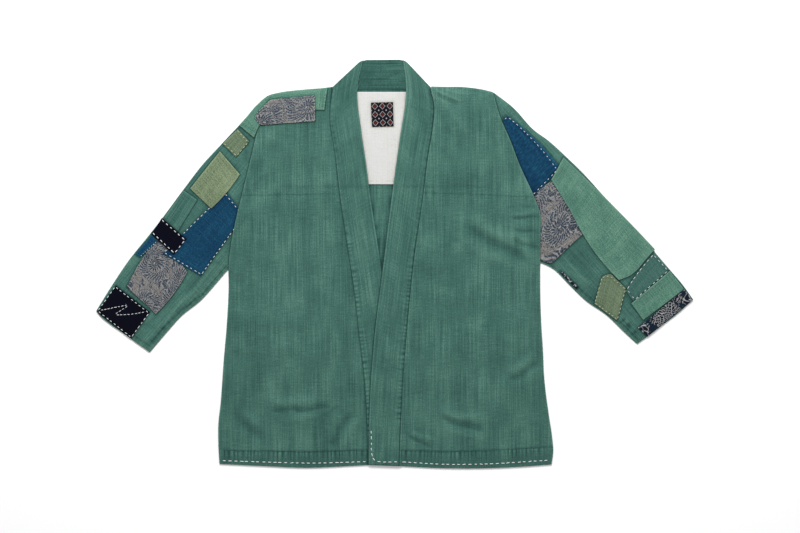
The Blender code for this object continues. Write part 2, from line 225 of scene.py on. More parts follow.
def smooth_line(points: Iterable[Point], at: np.ndarray) -> np.ndarray:
    """Points at stations of a smooth line: Hermite curves through rows."""
    rows = np.array(list(points), dtype=float)
    run = run_of(rows)
    slope = np.gradient(rows, run, axis=0)
    want = at * run[-1]
    k = np.clip(np.searchsorted(run, want, side="right") - 1, 0, len(run) - 2)
    span = (run[k + 1] - run[k])[:, None]
    t = (want - run[k])[:, None] / span
    h_start = 2 * t ** 3 - 3 * t ** 2 + 1
    m_start = (t ** 3 - 2 * t ** 2 + t) * span
    m_end = (t ** 3 - t ** 2) * span
    return (h_start * rows[k] + (1 - h_start) * rows[k + 1]
            + m_start * slope[k] + m_end * slope[k + 1])


def corner_line(points: Iterable[Point], at: np.ndarray) -> np.ndarray:
    """Points at stations of the straight stretches between the rows."""
    rows = np.array(list(points), dtype=float)
    run = run_of(rows)
    want = at * run[-1]
    return np.stack([np.interp(want, run, rows[:, c]) for c in (0, 1)], axis=1)


def bowed_side(start: Point, end: Point, bow: float,
               at: np.ndarray) -> np.ndarray:
    """A straight side, swollen to its left by a parabola: the bow."""
    first, last = np.array(start, float), np.array(end, float)
    t = at[:, None]
    run = last - first
    out = np.array((-run[1], run[0])) / np.linalg.norm(run)
    return first + run * t + out * bow * 4 * t * (1 - t)


def fill_in(low: np.ndarray, high: np.ndarray, left: np.ndarray,
            right: np.ndarray, across: np.ndarray,
            along: np.ndarray) -> np.ndarray:
    """A Coons net between four edges, at the given stations.

    It is the blend of low to high plus the blend of left to right, less the
    bilinear blend of the four corners, which both of them hold.
    """
    u, v = across[None, :, None], along[:, None, None]
    wide = (1 - u) * left[:, None] + u * right[:, None]
    tall = (1 - v) * low[None] + v * high[None]
    twist = ((1 - u) * (1 - v) * low[0] + u * (1 - v) * low[-1]
             + (1 - u) * v * high[0] + u * v * high[-1])
    return wide + tall - twist


def border(net: np.ndarray) -> np.ndarray:
    """The edge of a net, once round."""
    return np.concatenate(
        (net[0, :-1], net[:-1, -1], net[-1, :0:-1], net[:0:-1, 0]))


def nearest(points: np.ndarray, line: Sequence[Point] | np.ndarray,
            closed: bool = False) -> tuple[np.ndarray, ...]:
    """The nearest place on a line for each point.

    Each point is dropped square on to every stretch, held to its two ends, and
    the shortest of those ways counts.

    Args:
        points: Points of any shape, with two values in the last axis.
        line: The rows of the line.
        closed: Whether its last row joins its first.

    Returns:
        Distance, length along the line, and which side, +1 for its left.
    """
    a = np.asarray(line, float)
    b = np.roll(a, -1, axis=0)
    if not closed:
        a, b = a[:-1], b[:-1]
    run = b - a
    size = np.maximum(np.linalg.norm(run, axis=1), 1e-9)
    start = np.concatenate(([0.0], np.cumsum(size)[:-1]))
    found = []
    for flat in np.array_split(points.reshape(-1, 2),
                               max(1, points.size // 40000)):
        away = flat[:, None] - a[None]
        t = np.clip((away * run).sum(2) / size ** 2, 0, 1)
        dist = np.linalg.norm(away - t[..., None] * run, axis=2)
        k = dist.argmin(1)
        row = np.arange(len(flat))
        turn = run[k, 0] * away[row, k, 1] - run[k, 1] * away[row, k, 0]
        found.append(np.stack((dist[row, k], start[k] + t[row, k] * size[k],
                               np.sign(turn))))
    whole = np.concatenate(found, axis=1)
    return tuple(part.reshape(points.shape[:-1]) for part in whole)


def inside(points: np.ndarray, outline: np.ndarray) -> np.ndarray:
    """Whether each point lies in an outline, by counting crossings."""
    flat = points.reshape(-1, 2)
    a, b = outline, np.roll(outline, -1, axis=0)
    rise = b[:, 1] - a[:, 1]
    rise = np.where(np.abs(rise) < 1e-9, 1e-9, rise)
    slope = (b[:, 0] - a[:, 0]) / rise
    odd = np.zeros(len(flat), dtype=bool)
    for (ax, ay), by, lean in zip(a, b[:, 1], slope):
        cross = (ay > flat[:, 1]) != (by > flat[:, 1])
        odd ^= cross & (flat[:, 0] < ax + (flat[:, 1] - ay) * lean)
    return odd.reshape(points.shape[:-1])


def edge_gap(net: np.ndarray) -> np.ndarray:
    """How far each point of a net is from the net's own four edges.

    Along its own row and its own column, the shortest of the four ways.
    """
    ends = (net[:, :1], net[:, -1:], net[:1], net[-1:])
    gaps = [np.linalg.norm(net - end, axis=-1) for end in ends]
    return np.minimum.reduce(gaps)


# ---- folds, puckers and the heap of layers ----


@dataclass(frozen=True)
class Fold:
    """A soft ridge, or a trough where its height is negative."""

    start: Point
    end: Point
    half: float
    height: float
    lean: float = 0.0

    def rise(self, points: np.ndarray) -> np.ndarray:
        """The fold's height: a bell across it that fades to its ends.

        The ridge line bends aside along a low sine, and a lean makes one flank
        steeper than the other.
        """
        first, last = np.array(self.start), np.array(self.end)
        run = last - first
        size = np.linalg.norm(run)
        t = ((points - first) @ run) / size ** 2
        over = np.abs(t - np.clip(t, 0, 1)) * size
        side = ((points[..., 1] - first[1]) * run[0]
                - (points[..., 0] - first[0]) * run[1]) / size
        bend = self.half * 0.35 * np.sin(np.pi * np.clip(t, 0, 1) * 1.7)
        side = side + bend
        width = self.half * (1 + self.lean * np.sign(side))
        near = np.hypot(side / width, over / self.half)
        fade = soft_step(np.sin(np.pi * np.clip(t * 0.9 + 0.05, 0, 1)) * 1.5)
        return self.height * fade * np.exp(-(near * 1.6) ** 2)


def fold_rows(*rows: tuple[float, ...]) -> tuple[Fold, ...]:
    """Folds from rows of start, end, half width, height and any lean."""
    return tuple(Fold(row[:2], row[2:4], *row[4:]) for row in rows)


@dataclass(frozen=True)
class Pucker:
    """Small gathers along a sewn line, with the line's own groove."""

    line: Line
    pitch: float
    tall: float
    reach: float
    side: int = 0
    groove: float = 0.0
    # How strongly the gathers are painted lighter on rises and darker in dips
    tone: float = 0.5

    def wave(self, points: np.ndarray) -> tuple[np.ndarray, np.ndarray]:
        """The uneven wave along the line and how strong it is at a point.

        The wave is a row of narrow dips, the square of a sine whose pitch
        drifts, and it dies away as a bell with the distance from the line, on
        one side only where side says so.
        """
        away, along, side = nearest(points, self.line)
        step = along / self.pitch
        drift = 2.0 * np.sin(step * 0.59 + 1.3) + 1.1 * np.sin(step * 1.9)
        beat = 0.5 + 0.5 * np.sin(step * 0.71 + 0.4) * np.sin(
            step * 0.23 + 2.0)
        dip = (0.5 - 0.5 * np.sin(2 * np.pi * step + drift)) ** 2
        wave = (0.6 - 1.6 * dip) * (0.2 + 0.8 * beat)
        strong = np.exp(-(away / self.reach) ** 2)
        if self.side:
            strong = strong * (0.12 + 0.88 * (side * self.side > 0))
        return wave * strong, away

    def rise(self, points: np.ndarray) -> np.ndarray:
        """The gathers' height with the groove of the seam."""
        wave, away = self.wave(points)
        bell = np.exp(-(away / SEAM_GROOVE) ** 2)
        return self.tall * wave - self.groove * bell


@dataclass(frozen=True)
class Relief:
    """Everything that lifts one cloth above the layers that carry it."""

    folds: tuple[Fold, ...] = ()
    puckers: tuple[Pucker, ...] = ()
    loft: float = 0.0
    reach: float = 26.0
    ripple: float = 0.0
    seed: int = 1

    def height(self, points: np.ndarray, outline: np.ndarray) -> np.ndarray:
        """The relief at any points, level with the base at the outline."""
        total = np.zeros(points.shape[:-1])
        if not (self.folds or self.puckers or self.loft or self.ripple):
            return total
        away = nearest(points, outline, closed=True)[0]
        ease = soft_step(away / FOLD_EASE)
        total += self.loft * soft_step(away / self.reach) ** 0.7
        for fold in self.folds:
            total += fold.rise(points) * ease
        if self.ripple:
            total += self.ripple * self.wander(points) * ease
        for pucker in self.puckers:
            total += pucker.rise(points) * soft_step(away / 2.5 + 0.1)
        return np.maximum(total, 0.1 - GAP)

    def wander(self, points: np.ndarray) -> np.ndarray:
        """An uneven swell: a sum of sines in seeded directions."""
        rng = np.random.default_rng(self.seed)
        total = np.zeros(points.shape[:-1])
        for wave, weight in ((95, 0.9), (70, 0.7), (52, 0.5), (38, 0.35),
                             (29, 0.26), (21, 0.18), (15, 0.12)):
            for _ in range(2):
                turn, phase = rng.uniform(0, 2 * np.pi, 2)
                way = np.array((np.cos(turn), np.sin(turn)))
                bend = 6 * np.sin(points @ way[::-1] / (wave * 0.9) + phase)
                total += weight * np.sin(
                    2 * np.pi * (points @ way + bend) / wave + phase)
        return total * 0.5

    def tone(self, points: np.ndarray) -> np.ndarray:
        """Painted light (+) and shade (-) of the folds, gathers and seams."""
        total = np.zeros(points.shape[:-1])
        for fold in self.folds:
            # Painted light on each fold's ridge and painted shade in its trough
            total += 0.2 * fold.rise(points)
        for pucker in self.puckers:
            wave, away = pucker.wave(points)
            # Painted light and shade following the gathers' wave
            total += pucker.tone * wave
            if pucker.groove:
                # A painted shadow line in the seam's groove
                total -= (1.1 * pucker.groove + 0.2) * np.exp(
                    -(away / SEAM_LINE) ** 2)
        return total


FLAT = Relief()


@dataclass
class Layer:
    """One cloth on the heap."""

    name: str
    outline: np.ndarray
    thick: float
    relief: Relief
    beside: frozenset[str]
    floor: bool


@dataclass
class Heap:
    """The cloth layers in the order in which they lie on each other."""

    layers: list[Layer] = field(default_factory=list)

    def lay(self, name: str, net: np.ndarray, thick: float,
            relief: Relief = FLAT, beside: Iterable[str] = (),
            floor: bool = False) -> np.ndarray:
        """Put a cloth on the heap.

        Args:
            name: The cloth's name.
            net: Its net in plan.
            thick: Its thickness.
            relief: Its folds and gathers.
            beside: Cloths that it meets edge to edge and doesn't lie on.
            floor: Whether it lies on the surface itself.

        Returns:
            The height of its underside at each point of the net.
        """
        ring = border(net)
        run = run_of(np.concatenate((ring, ring[:1])))
        keep = np.unique(np.searchsorted(
            run, np.arange(0, run[-1], max(6.0, run[-1] / 160))))
        corners = np.cumsum([0, net.shape[1] - 1, net.shape[0] - 1,
                             net.shape[1] - 1])
        keep = np.unique(np.concatenate((keep[keep < len(ring)], corners)))
        self.layers.append(Layer(name, ring[keep], thick, relief,
                                 frozenset(beside), floor))
        return self.under(name, net)

    def under(self, name: str, points: np.ndarray) -> np.ndarray:
        """The height of a cloth's underside at any points.

        Going up the heap, each cloth is raised to clear the one below it where
        that lies under it, and falls back over the ramp beyond its edge.
        """
        low = points.reshape(-1, 2).min(0) - CLEAR - RAMP
        high = points.reshape(-1, 2).max(0) + CLEAR + RAMP
        tops: list[tuple[np.ndarray, np.ndarray, str]] = []
        for layer in self.layers:
            own = layer.name == name
            if not own and (np.any(layer.outline.max(0) < low)
                            or np.any(layer.outline.min(0) > high)):
                continue
            base = np.zeros(points.shape[:-1])
            if not layer.floor:
                for top, cover, below in tops:
                    if below not in layer.beside:
                        base += np.maximum(top + GAP - base, 0) * cover
                base += layer.relief.height(points, layer.outline)
            if own:
                return base
            away = nearest(points, layer.outline, closed=True)[0]
            away[inside(points, layer.outline)] = 0.0
            cover = soft_step(1 - (away - CLEAR) / RAMP)
            tops.append((base + layer.thick, cover, layer.name))
        raise KeyError(name)

    def shade(self, name: str, points: np.ndarray) -> np.ndarray:
        """The painted shade on a cloth where an upper cloth's edge runs over
        it.

        The painted shadow beside an edge is a bell with the distance from the
        edge, with a faint wider one.
        """
        total = np.zeros(points.shape[:-1])
        names = [layer.name for layer in self.layers]
        for layer in self.layers[names.index(name) + 1:]:
            low = layer.outline.min(0) - SHADE_REACH
            high = layer.outline.max(0) + SHADE_REACH
            near = np.all((points > low) & (points < high), axis=-1)
            if not near.any():
                continue
            some = points[near]
            away = nearest(some, layer.outline, closed=True)[0]
            away[inside(some, layer.outline)] = 0.0
            total[near] += (np.exp(-(away / EDGE_SHADOW_WIDTH) ** 2)
                            + 0.12 * np.exp(-(away / (4 * EDGE_SHADOW_WIDTH)) ** 2))
        return np.minimum(total, SHADE_MOST)

    def top(self, name: str, points: np.ndarray) -> np.ndarray:
        """The height of a cloth's upper face at any points."""
        thick = next(x.thick for x in self.layers if x.name == name)
        return self.under(name, points) + thick


# ---- meshes ----


def placed(points: np.ndarray) -> np.ndarray:
    """Points in mm moved to the origin, in metres."""
    return (points - (*MIDDLE, 0.0)) * MM


def lift(net: np.ndarray, height: np.ndarray) -> np.ndarray:
    """A net with heights, moved to the origin, in metres."""
    return placed(np.concatenate((net, height[..., None]), axis=-1))


def rounded(share: np.ndarray, least: float = 0.004) -> np.ndarray:
    """How full a wall is near its edge: the height of a quarter circle."""
    return np.sqrt(np.maximum(1 - (1 - np.clip(share, 0, 1)) ** 2, least))


def grid_quads(index: np.ndarray, wrap: bool = False) -> np.ndarray:
    """The four-cornered faces between the rows and columns of an index."""
    if wrap:
        index = np.concatenate((index, index[:, :1]), axis=1)
    return np.stack((index[:-1, :-1], index[:-1, 1:], index[1:, 1:],
                     index[1:, :-1]), axis=-1).reshape(-1, 4)


def make_mesh(name: str, points: np.ndarray, faces: Sequence[np.ndarray],
              uv: np.ndarray | None = None,
              tone: np.ndarray | None = None) -> bpy.types.Object:
    """Put points and faces into a new object, faces turned outwards.

    The signed volume is the sum over the faces, fanned into triangles, of the
    box product of their corners, and where it is negative each face turns.

    Args:
        name: The object's name.
        points: The points, in metres.
        faces: Arrays of faces, each with one number of corners.
        uv: A flat place on the cloth for each point.
        tone: How worn each point is, with its painted shade and light.

    Returns:
        The new object.
    """
    points = np.ascontiguousarray(points.reshape(-1, 3), dtype=np.float64)
    volume = 0.0
    for group in faces:
        for k in range(1, group.shape[1] - 1):
            a, b, c = (points[group[:, j]] for j in (0, k, k + 1))
            volume += float((a * np.cross(b, c)).sum())
    if volume < 0:
        faces = [group[:, ::-1] for group in faces]
    loops = np.concatenate([group.ravel() for group in faces])
    totals = np.concatenate(
        [np.full(len(group), group.shape[1]) for group in faces])
    mesh = bpy.data.meshes.new(name)
    mesh.vertices.add(len(points))
    mesh.vertices.foreach_set("co", points.ravel())
    mesh.loops.add(len(loops))
    mesh.loops.foreach_set("vertex_index", loops.astype(np.int32))
    mesh.polygons.add(len(totals))
    starts = np.concatenate(([0], np.cumsum(totals)[:-1]))
    mesh.polygons.foreach_set("loop_start", starts.astype(np.int32))
    mesh.polygons.foreach_set("loop_total", totals.astype(np.int32))
    mesh.update(calc_edges=True)
    if uv is not None:
        layer = mesh.uv_layers.new(name="cloth")
        flat = uv.reshape(-1, 2)[loops]
        layer.data.foreach_set("uv", flat.astype(np.float32).ravel())
    if tone is not None:
        # This per-point attribute holds rubbing together with painted shade and
        # light
        wear_and_shade = mesh.attributes.new("wear_and_shade", "FLOAT", "POINT")
        wear_and_shade.data.foreach_set("value", tone.astype(np.float32).ravel())
    mesh.shade_smooth()
    piece = bpy.data.objects.new(name, mesh)
    bpy.context.scene.collection.objects.link(piece)
    return piece


def joined(name: str, over: np.ndarray, under: np.ndarray, uv: np.ndarray,
           tones: Sequence[np.ndarray],
           ring: bool = False) -> bpy.types.Object:
    """Two skins on one net, joined at its edge into a closed wall.

    Args:
        name: The piece's name.
        over: The upper or outer skin, in metres.
        under: The other skin.
        uv: The place on the cloth, the same for both skins.
        tones: How worn each skin is, with its painted shade and light.
        ring: Whether the net closes on itself across, open at both ends.

    Returns:
        The new object.
    """
    rows, cols = over.shape[:2]
    index = np.arange(rows * cols).reshape(rows, cols)
    far = index + rows * cols
    rims = [(border(index[..., None])[:, 0], border(far[..., None])[:, 0], 1)]
    if ring:
        rims = [(index[0], far[0], 1), (index[-1], far[-1], -1)]
    faces = [grid_quads(index, ring), grid_quads(far, ring)[:, ::-1]]
    for near, other, turn in rims:
        rim = np.stack((near, other, np.roll(other, -1), np.roll(near, -1)),
                       axis=1)
        faces.append(rim[:, ::turn])
    return make_mesh(
        name, np.concatenate((over.reshape(-1, 3), under.reshape(-1, 3))),
        [np.concatenate(faces)], np.concatenate((uv.reshape(-1, 2),) * 2),
        np.concatenate([tone.ravel() for tone in tones]))


def shell(name: str, net: np.ndarray, base: np.ndarray, thick: float,
          uv: np.ndarray, tone: np.ndarray,
          rim: float = 1.0) -> bpy.types.Object:
    """A thin closed shell of cloth over a net, its edge rounded.

    Near the edge the two faces close on the middle of the wall along a quarter
    ellipse of the rim's width.
    """
    middle = base + thick / 2
    half = thick / 2 * rounded(edge_gap(net) / rim)
    return joined(name, lift(net, middle + half), lift(net, middle - half),
                  uv, (tone, tone))


def flat_area(net: np.ndarray) -> float:
    """The area of a net in plan, in square metres (shoelace round it)."""
    ring = border(net) * MM
    far = np.roll(ring, -1, axis=0)
    cross = ring[:, 0] * far[:, 1] - ring[:, 1] * far[:, 0]
    return abs(float(cross.sum())) / 2


# ---- finishes ----


def shade(red: float, green: float, blue: float) -> tuple[float, ...]:
    """A colour as it looks, 0 to 255, in the renderer's linear values."""
    rows = np.array((red, green, blue)) / 255
    line = np.where(rows <= 0.04045, rows / 12.92,
                    ((rows + 0.055) / 1.055) ** 2.4)
    return (*(float(v) for v in line), 1.0)


Socket = bpy.types.NodeSocket
Feeds = dict[int | str, object]

# What a seam's painted shadow and a print's streaks multiply the colour by
SEAM_SHADOW_TINT = (0.2, 0.22, 0.24, 1.0)
STREAK_DYE = (0.62, 0.62, 0.64, 1.0)
# How strongly worn places and painted shade and light count in the weave
WEAR_AND_SHADE_SHARE = 0.42


@dataclass(frozen=True)
class Value:
    """A number in a node tree: a sum with it places a maths node."""

    desk: Desk
    socket: Socket

    def __add__(self, other: object) -> Value:
        """This and another one."""
        return self.desk.maths("ADD", self, other)

    def __sub__(self, other: object) -> Value:
        """This less another one."""
        return self.desk.maths("SUBTRACT", self, other)

    def __rsub__(self, other: object) -> Value:
        """Another one less this."""
        return self.desk.maths("SUBTRACT", other, self)

    def __mul__(self, other: object) -> Value:
        """This times another one."""
        return self.desk.maths("MULTIPLY", self, other)

    def __abs__(self) -> Value:
        """This without its sign."""
        return self.desk.maths("ABSOLUTE", self)

    def most(self, other: object) -> Value:
        """The larger of this and another one."""
        return self.desk.maths("MAXIMUM", self, other)


@dataclass
class Desk:
    """A node tree with short ways to place and join its nodes."""

    tree: bpy.types.NodeTree

    def put(self, kind: str, feeds: Feeds | None = None,
            **settings: object) -> bpy.types.Node:
        """Place a node, set its properties and feed its inputs."""
        node = self.tree.nodes.new(kind)
        for key, value in settings.items():
            setattr(node, key, value)
        self.feed(node, feeds or {})
        return node

    def feed(self, node: bpy.types.Node, feeds: Feeds) -> None:
        """Join each named input of a node to a socket, or set its value."""
        for key, value in feeds.items():
            socket = node.inputs[key]
            value = value.socket if isinstance(value, Value) else value
            if isinstance(value, Socket):
                self.tree.links.new(value, socket)
            else:
                socket.default_value = value

    def maths(self, how: str, one: object, two: object = 0.0,
              clamp: bool = False) -> Value:
        """What one maths node makes of two values."""
        node = self.put("ShaderNodeMath", {0: one, 1: two}, operation=how,
                        use_clamp=clamp)
        return Value(self, node.outputs[0])

    def step(self, value: object, low: float, high: float) -> Value:
        """Nought below low, one above high, smooth between."""
        node = self.put("ShaderNodeMapRange", {
            "Value": value, "From Min": low, "From Max": high},
            interpolation_type="SMOOTHSTEP")
        return Value(self, node.outputs["Result"])

    def mix(self, share: object, one: object, two: object,
            how: str = "MIX") -> Socket:
        """Two colours mixed."""
        return self.put("ShaderNodeMix", {0: share, 6: one, 7: two},
                        data_type="RGBA", blend_type=how).outputs[2]

    def scaled(self, vector: object, wide: float, tall: float,
               turn: float = 0.0) -> Socket:
        """A vector whose unit becomes wide by tall millimetres."""
        return self.put("ShaderNodeMapping", {
            "Vector": vector, "Rotation": (0, 0, turn),
            "Scale": (1 / wide, 1 / tall, 1)}).outputs[0]

    def noise(self, vector: object, wide: float, tall: float,
              detail: float = 2.0) -> Value:
        """Flat noise whose grains are wide by tall millimetres."""
        node = self.put("ShaderNodeTexNoise", {
            "Vector": self.scaled(vector, wide, tall), "Scale": 1.0,
            "Detail": detail}, noise_dimensions="2D")
        return Value(self, node.outputs["Fac"])

    def split(self, vector: object) -> list[Value]:
        """The two parts of a flat vector."""
        parts = self.put("ShaderNodeSeparateXYZ", {0: vector}).outputs
        return [Value(self, part) for part in parts[:2]]

    def coat(self, shader: bpy.types.Node, colour: object, rough: object,
             height: object, strong: float, deep: float) -> None:
        """Give a shader its colour, its roughness and fine bumps.

        Args:
            shader: The shader.
            colour: Its colour.
            rough: Its roughness.
            height: The height of the bumps.
            strong: How strong they are.
            deep: How deep they are, in metres.
        """
        bump = self.put("ShaderNodeBump", {
            "Strength": strong, "Distance": deep, "Height": height})
        self.feed(shader, {"Base Color": colour, "Roughness": rough,
                           "Normal": bump.outputs[0]})


def new_group(name: str, inputs: dict[str, object],
              outputs: dict[str, str]) -> tuple[Desk, Feeds, object]:
    """An empty shader node group with named sockets.

    Args:
        name: The group's name.
        inputs: Socket names with their default values.
        outputs: Socket names with their kinds.

    Returns:
        Its desk, what its inputs give by name, and the node that takes its
        outputs.
    """
    tree = bpy.data.node_groups.new(name, "ShaderNodeTree")
    for key, value in inputs.items():
        kind = {float: "NodeSocketFloat", tuple: "NodeSocketColor",
                type(None): "NodeSocketVector"}[type(value)]
        socket = tree.interface.new_socket(name=key, in_out="INPUT",
                                           socket_type=kind)
        if value is not None:
            socket.default_value = value
    for key, kind in outputs.items():
        tree.interface.new_socket(name=key, in_out="OUTPUT", socket_type=kind)
    desk = Desk(tree)
    source = desk.put("NodeGroupInput").outputs
    given: Feeds = {key: Value(desk, source[key]) if type(value) is float
                    else source[key] for key, value in inputs.items()}
    return desk, given, desk.put("NodeGroupOutput")


# The noises of the weave: width and length of a grain in mm, and detail
GRAINS: tuple[tuple[float, float, float], ...] = (
    (1.9, 95, 2), (8, 260, 2), (34, 520, 1), (24, 1.9, 3), (1.7, 2.6, 2),
    (42, 55, 3), (0.75, 6, 2), (6, 0.75, 2))


def weave_group() -> bpy.types.NodeTree:
    """Slubby plain weave: warp streaks, fine weft, fading and painted shade.

    The vector is the place on the cloth in mm, across and along the warp. The
    colour goes to the deep shade in streaks and in painted shade, to the pale
    one on worn places and painted highlights, and towards a painted shadow
    deep in a seam, and the height holds both sets of threads.
    """
    desk, given, out = new_group(
        "slub weave",
        {"Vector": None, "Colour": (0.1, 0.2, 0.2, 1.0),
         "Deep": (0.05, 0.1, 0.1, 1.0), "Pale": (0.2, 0.3, 0.3, 1.0),
         "Streak": 0.5, "Weft": 0.3, "Mottle": 0.3, "Wear_and_shade": 0.0},
        {"Colour": "NodeSocketColor", "Height": "NodeSocketFloat",
         "Roughness": "NodeSocketFloat"})
    fine, broad, wide, slub, grain, cloud, warp, woof = (
        desk.noise(given["Vector"], *row) for row in GRAINS)
    streak = (fine * 1.08 + broad * 0.04 + wide * 0.42
              - 0.77) * given["Streak"]
    cross = (slub - 0.5) * given["Weft"] * 0.95
    speck = (grain - 0.5) * 1.75 * given["Weft"]
    spread = (cloud - 0.5) * given["Mottle"]
    total = streak + cross + (spread + speck) + given["Wear_and_shade"]
    darker = desk.maths("MULTIPLY", total, -2.4, clamp=True)
    lighter = desk.maths("MULTIPLY", total, 2.2, clamp=True)
    # A painted shadow deep in a seam, where the total is lowest
    seam = desk.maths("MULTIPLY", total + 0.5, -1.5, clamp=True)
    colour = desk.mix(darker, given["Colour"], given["Deep"])
    colour = desk.mix(lighter, colour, given["Pale"])
    desk.feed(out, {
        "Colour": desk.mix(seam, colour, SEAM_SHADOW_TINT, "MULTIPLY"),
        "Height": warp + woof + fine * 0.6,
        "Roughness": grain * 0.16 + 0.84})
    return desk.tree


def flower_group() -> bpy.types.NodeTree:
    """A common scattered flower print, worked out cell by cell.

    Each cell of a loose net holds one many-petalled flower. Its petals stand
    in three rings, each turned by half a petal, bounded by thin pale lines
    where the sine of a multiple of the angle passes nought and by rounded
    tips. Between the flowers lie leaf-like blots with veins. Where the net
    value is above nought a mesh of dots takes the place of the flowers.
    """
    desk, given, out = new_group(
        "flower print",
        {"Vector": None, "Ground": (0.3, 0.3, 0.3, 1.0),
         "Motif": (0.1, 0.1, 0.15, 1.0), "Line": (0.5, 0.5, 0.45, 1.0),
         "Petals": 15.0, "Net": 0.0},
        {"Colour": "NodeSocketColor"})
    waver = desk.put("ShaderNodeTexNoise", {
        "Vector": given["Vector"], "Scale": 2.2, "Detail": 1.0},
        noise_dimensions="2D")
    place = desk.put("ShaderNodeVectorMath", {
        0: waver.outputs["Color"], 1: (0.26, 0.26, 0), 2: given["Vector"]},
        operation="MULTIPLY_ADD").outputs[0]
    cells = desk.put("ShaderNodeTexVoronoi", {
        "Vector": place, "Scale": 1.0, "Randomness": 0.7},
        voronoi_dimensions="2D")
    across, along = desk.split(desk.put("ShaderNodeVectorMath", {
        0: place, 1: cells.outputs["Position"]},
        operation="SUBTRACT").outputs[0])
    angle = desk.maths("ARCTAN2", along, across)
    radius = Value(desk, cells.outputs["Distance"])
    ring = radius * 4.4
    petals = (desk.step(ring, 0.999, 1.001) * 0.5 + 0.5) * given["Petals"]
    turned = ((angle + radius * 1.6) * petals
              + desk.maths("FLOOR", ring) * 1.5708)
    petal = abs(desk.maths("SINE", turned))
    tip = desk.maths("FRACT", ring) - (petal * 0.34 + 0.62)
    flower = desk.step(petal * 0.03 + 0.445 - radius, -0.008, 0.008)
    rays = desk.step(petal, 0.36, 0.16) * desk.step(radius, 0.03, 0.06)
    rim = desk.step(abs(tip), 0.055, 0.02)
    heart = desk.step(radius, 0.03, 0.02)
    bloom = rays.most(rim).most(heart) * flower
    blot = desk.noise(place, 0.4, 0.3, 3.0)
    leaf = desk.step(blot, 0.48, 0.53) * (1.0 - flower)
    veins = desk.put("ShaderNodeTexWave", {
        "Vector": place, "Scale": 4.2, "Distortion": 9.0, "Detail": 1.0,
        "Detail Scale": 1.2}, wave_type="BANDS", bands_direction="DIAGONAL")
    vein = desk.step(veins.outputs["Fac"], 0.55, 0.8) * leaf
    dots = desk.put("ShaderNodeTexVoronoi", {
        "Vector": place, "Scale": 12.0, "Randomness": 0.45},
        voronoi_dimensions="2D", feature="DISTANCE_TO_EDGE")
    lace = desk.step(dots.outputs["Distance"], 0.11, 0.06)
    netted = desk.step(desk.noise(place, 1.1, 1.1, 0.0), 0.47,
                       0.49) * given["Net"]
    light = bloom.most(vein * 0.7) * (1.0 - netted) + lace * netted
    dark = flower.most(leaf).most(netted)
    colour = desk.mix(dark, given["Ground"], given["Motif"])
    desk.feed(out, {"Colour": desk.mix(light, colour, given["Line"])})
    return desk.tree


@dataclass(frozen=True)
class Dye:
    """The shades of one cloth as they look, and how its threads show."""

    ground: tuple[float, float, float]
    deep: tuple[float, float, float]
    pale: tuple[float, float, float]
    streak: float = 0.5
    weft: float = 0.35
    mottle: float = 0.35
    motif: float = 0.0
    line: tuple[float, float, float] = (200, 195, 185)
    ink: tuple[float, float, float] = (0, 0, 0)


DYES: dict[Cloth, Dye] = {
    Cloth.GREEN: Dye((60, 97, 88), (37, 70, 65), (91, 129, 116), 0.62,
                     0.35, 0.44),
    Cloth.LIGHT: Dye((77, 116, 101), (52, 91, 81), (109, 144, 126), 0.42,
                     0.65, 0.55),
    Cloth.DARK: Dye((58, 93, 86), (38, 70, 68), (88, 125, 114), 0.35, 0.45,
                    0.3),
    Cloth.BLUE: Dye((14, 55, 81), (5, 36, 59), (34, 87, 113), 0.32, 0.45,
                    0.42),
    Cloth.NAVY: Dye((1, 2, 14), (1, 1, 8), (5, 8, 32), 0.3, 0.4, 0.3),
    Cloth.PALE: Dye((104, 120, 94), (73, 86, 63), (138, 152, 119), 0.35,
                    0.6, 0.5),
    Cloth.OLIVE: Dye((92, 109, 87), (63, 81, 60), (125, 140, 112), 0.45,
                     0.45, 0.4),
    Cloth.LINING: Dye((193, 193, 191), (173, 171, 166), (204, 205, 205), 0.3,
                      0.3, 0.25),
    Cloth.PRINT: Dye((112, 110, 109), (72, 74, 78), (150, 146, 140), 0.45,
                     1.5, 0.55, 66.0, (148, 145, 141), (54, 66, 79)),
    Cloth.NIGHT: Dye((15, 30, 46), (8, 15, 27), (40, 54, 68), 0.3, 0.5,
                     0.3, 50.0, (164, 164, 163), (13, 22, 37)),
}
# Each thread's light and dark strand
TWISTS: dict[Thread, tuple[tuple[float, float, float], ...]] = {
    Thread.WHITE: ((222, 226, 226), (190, 195, 196)),
    Thread.CREAM: ((196, 200, 168), (164, 168, 136)),
    Thread.SELF: ((52, 90, 82), (36, 66, 62)),
    Thread.SHADE: ((38, 52, 62), (24, 34, 44)),
}


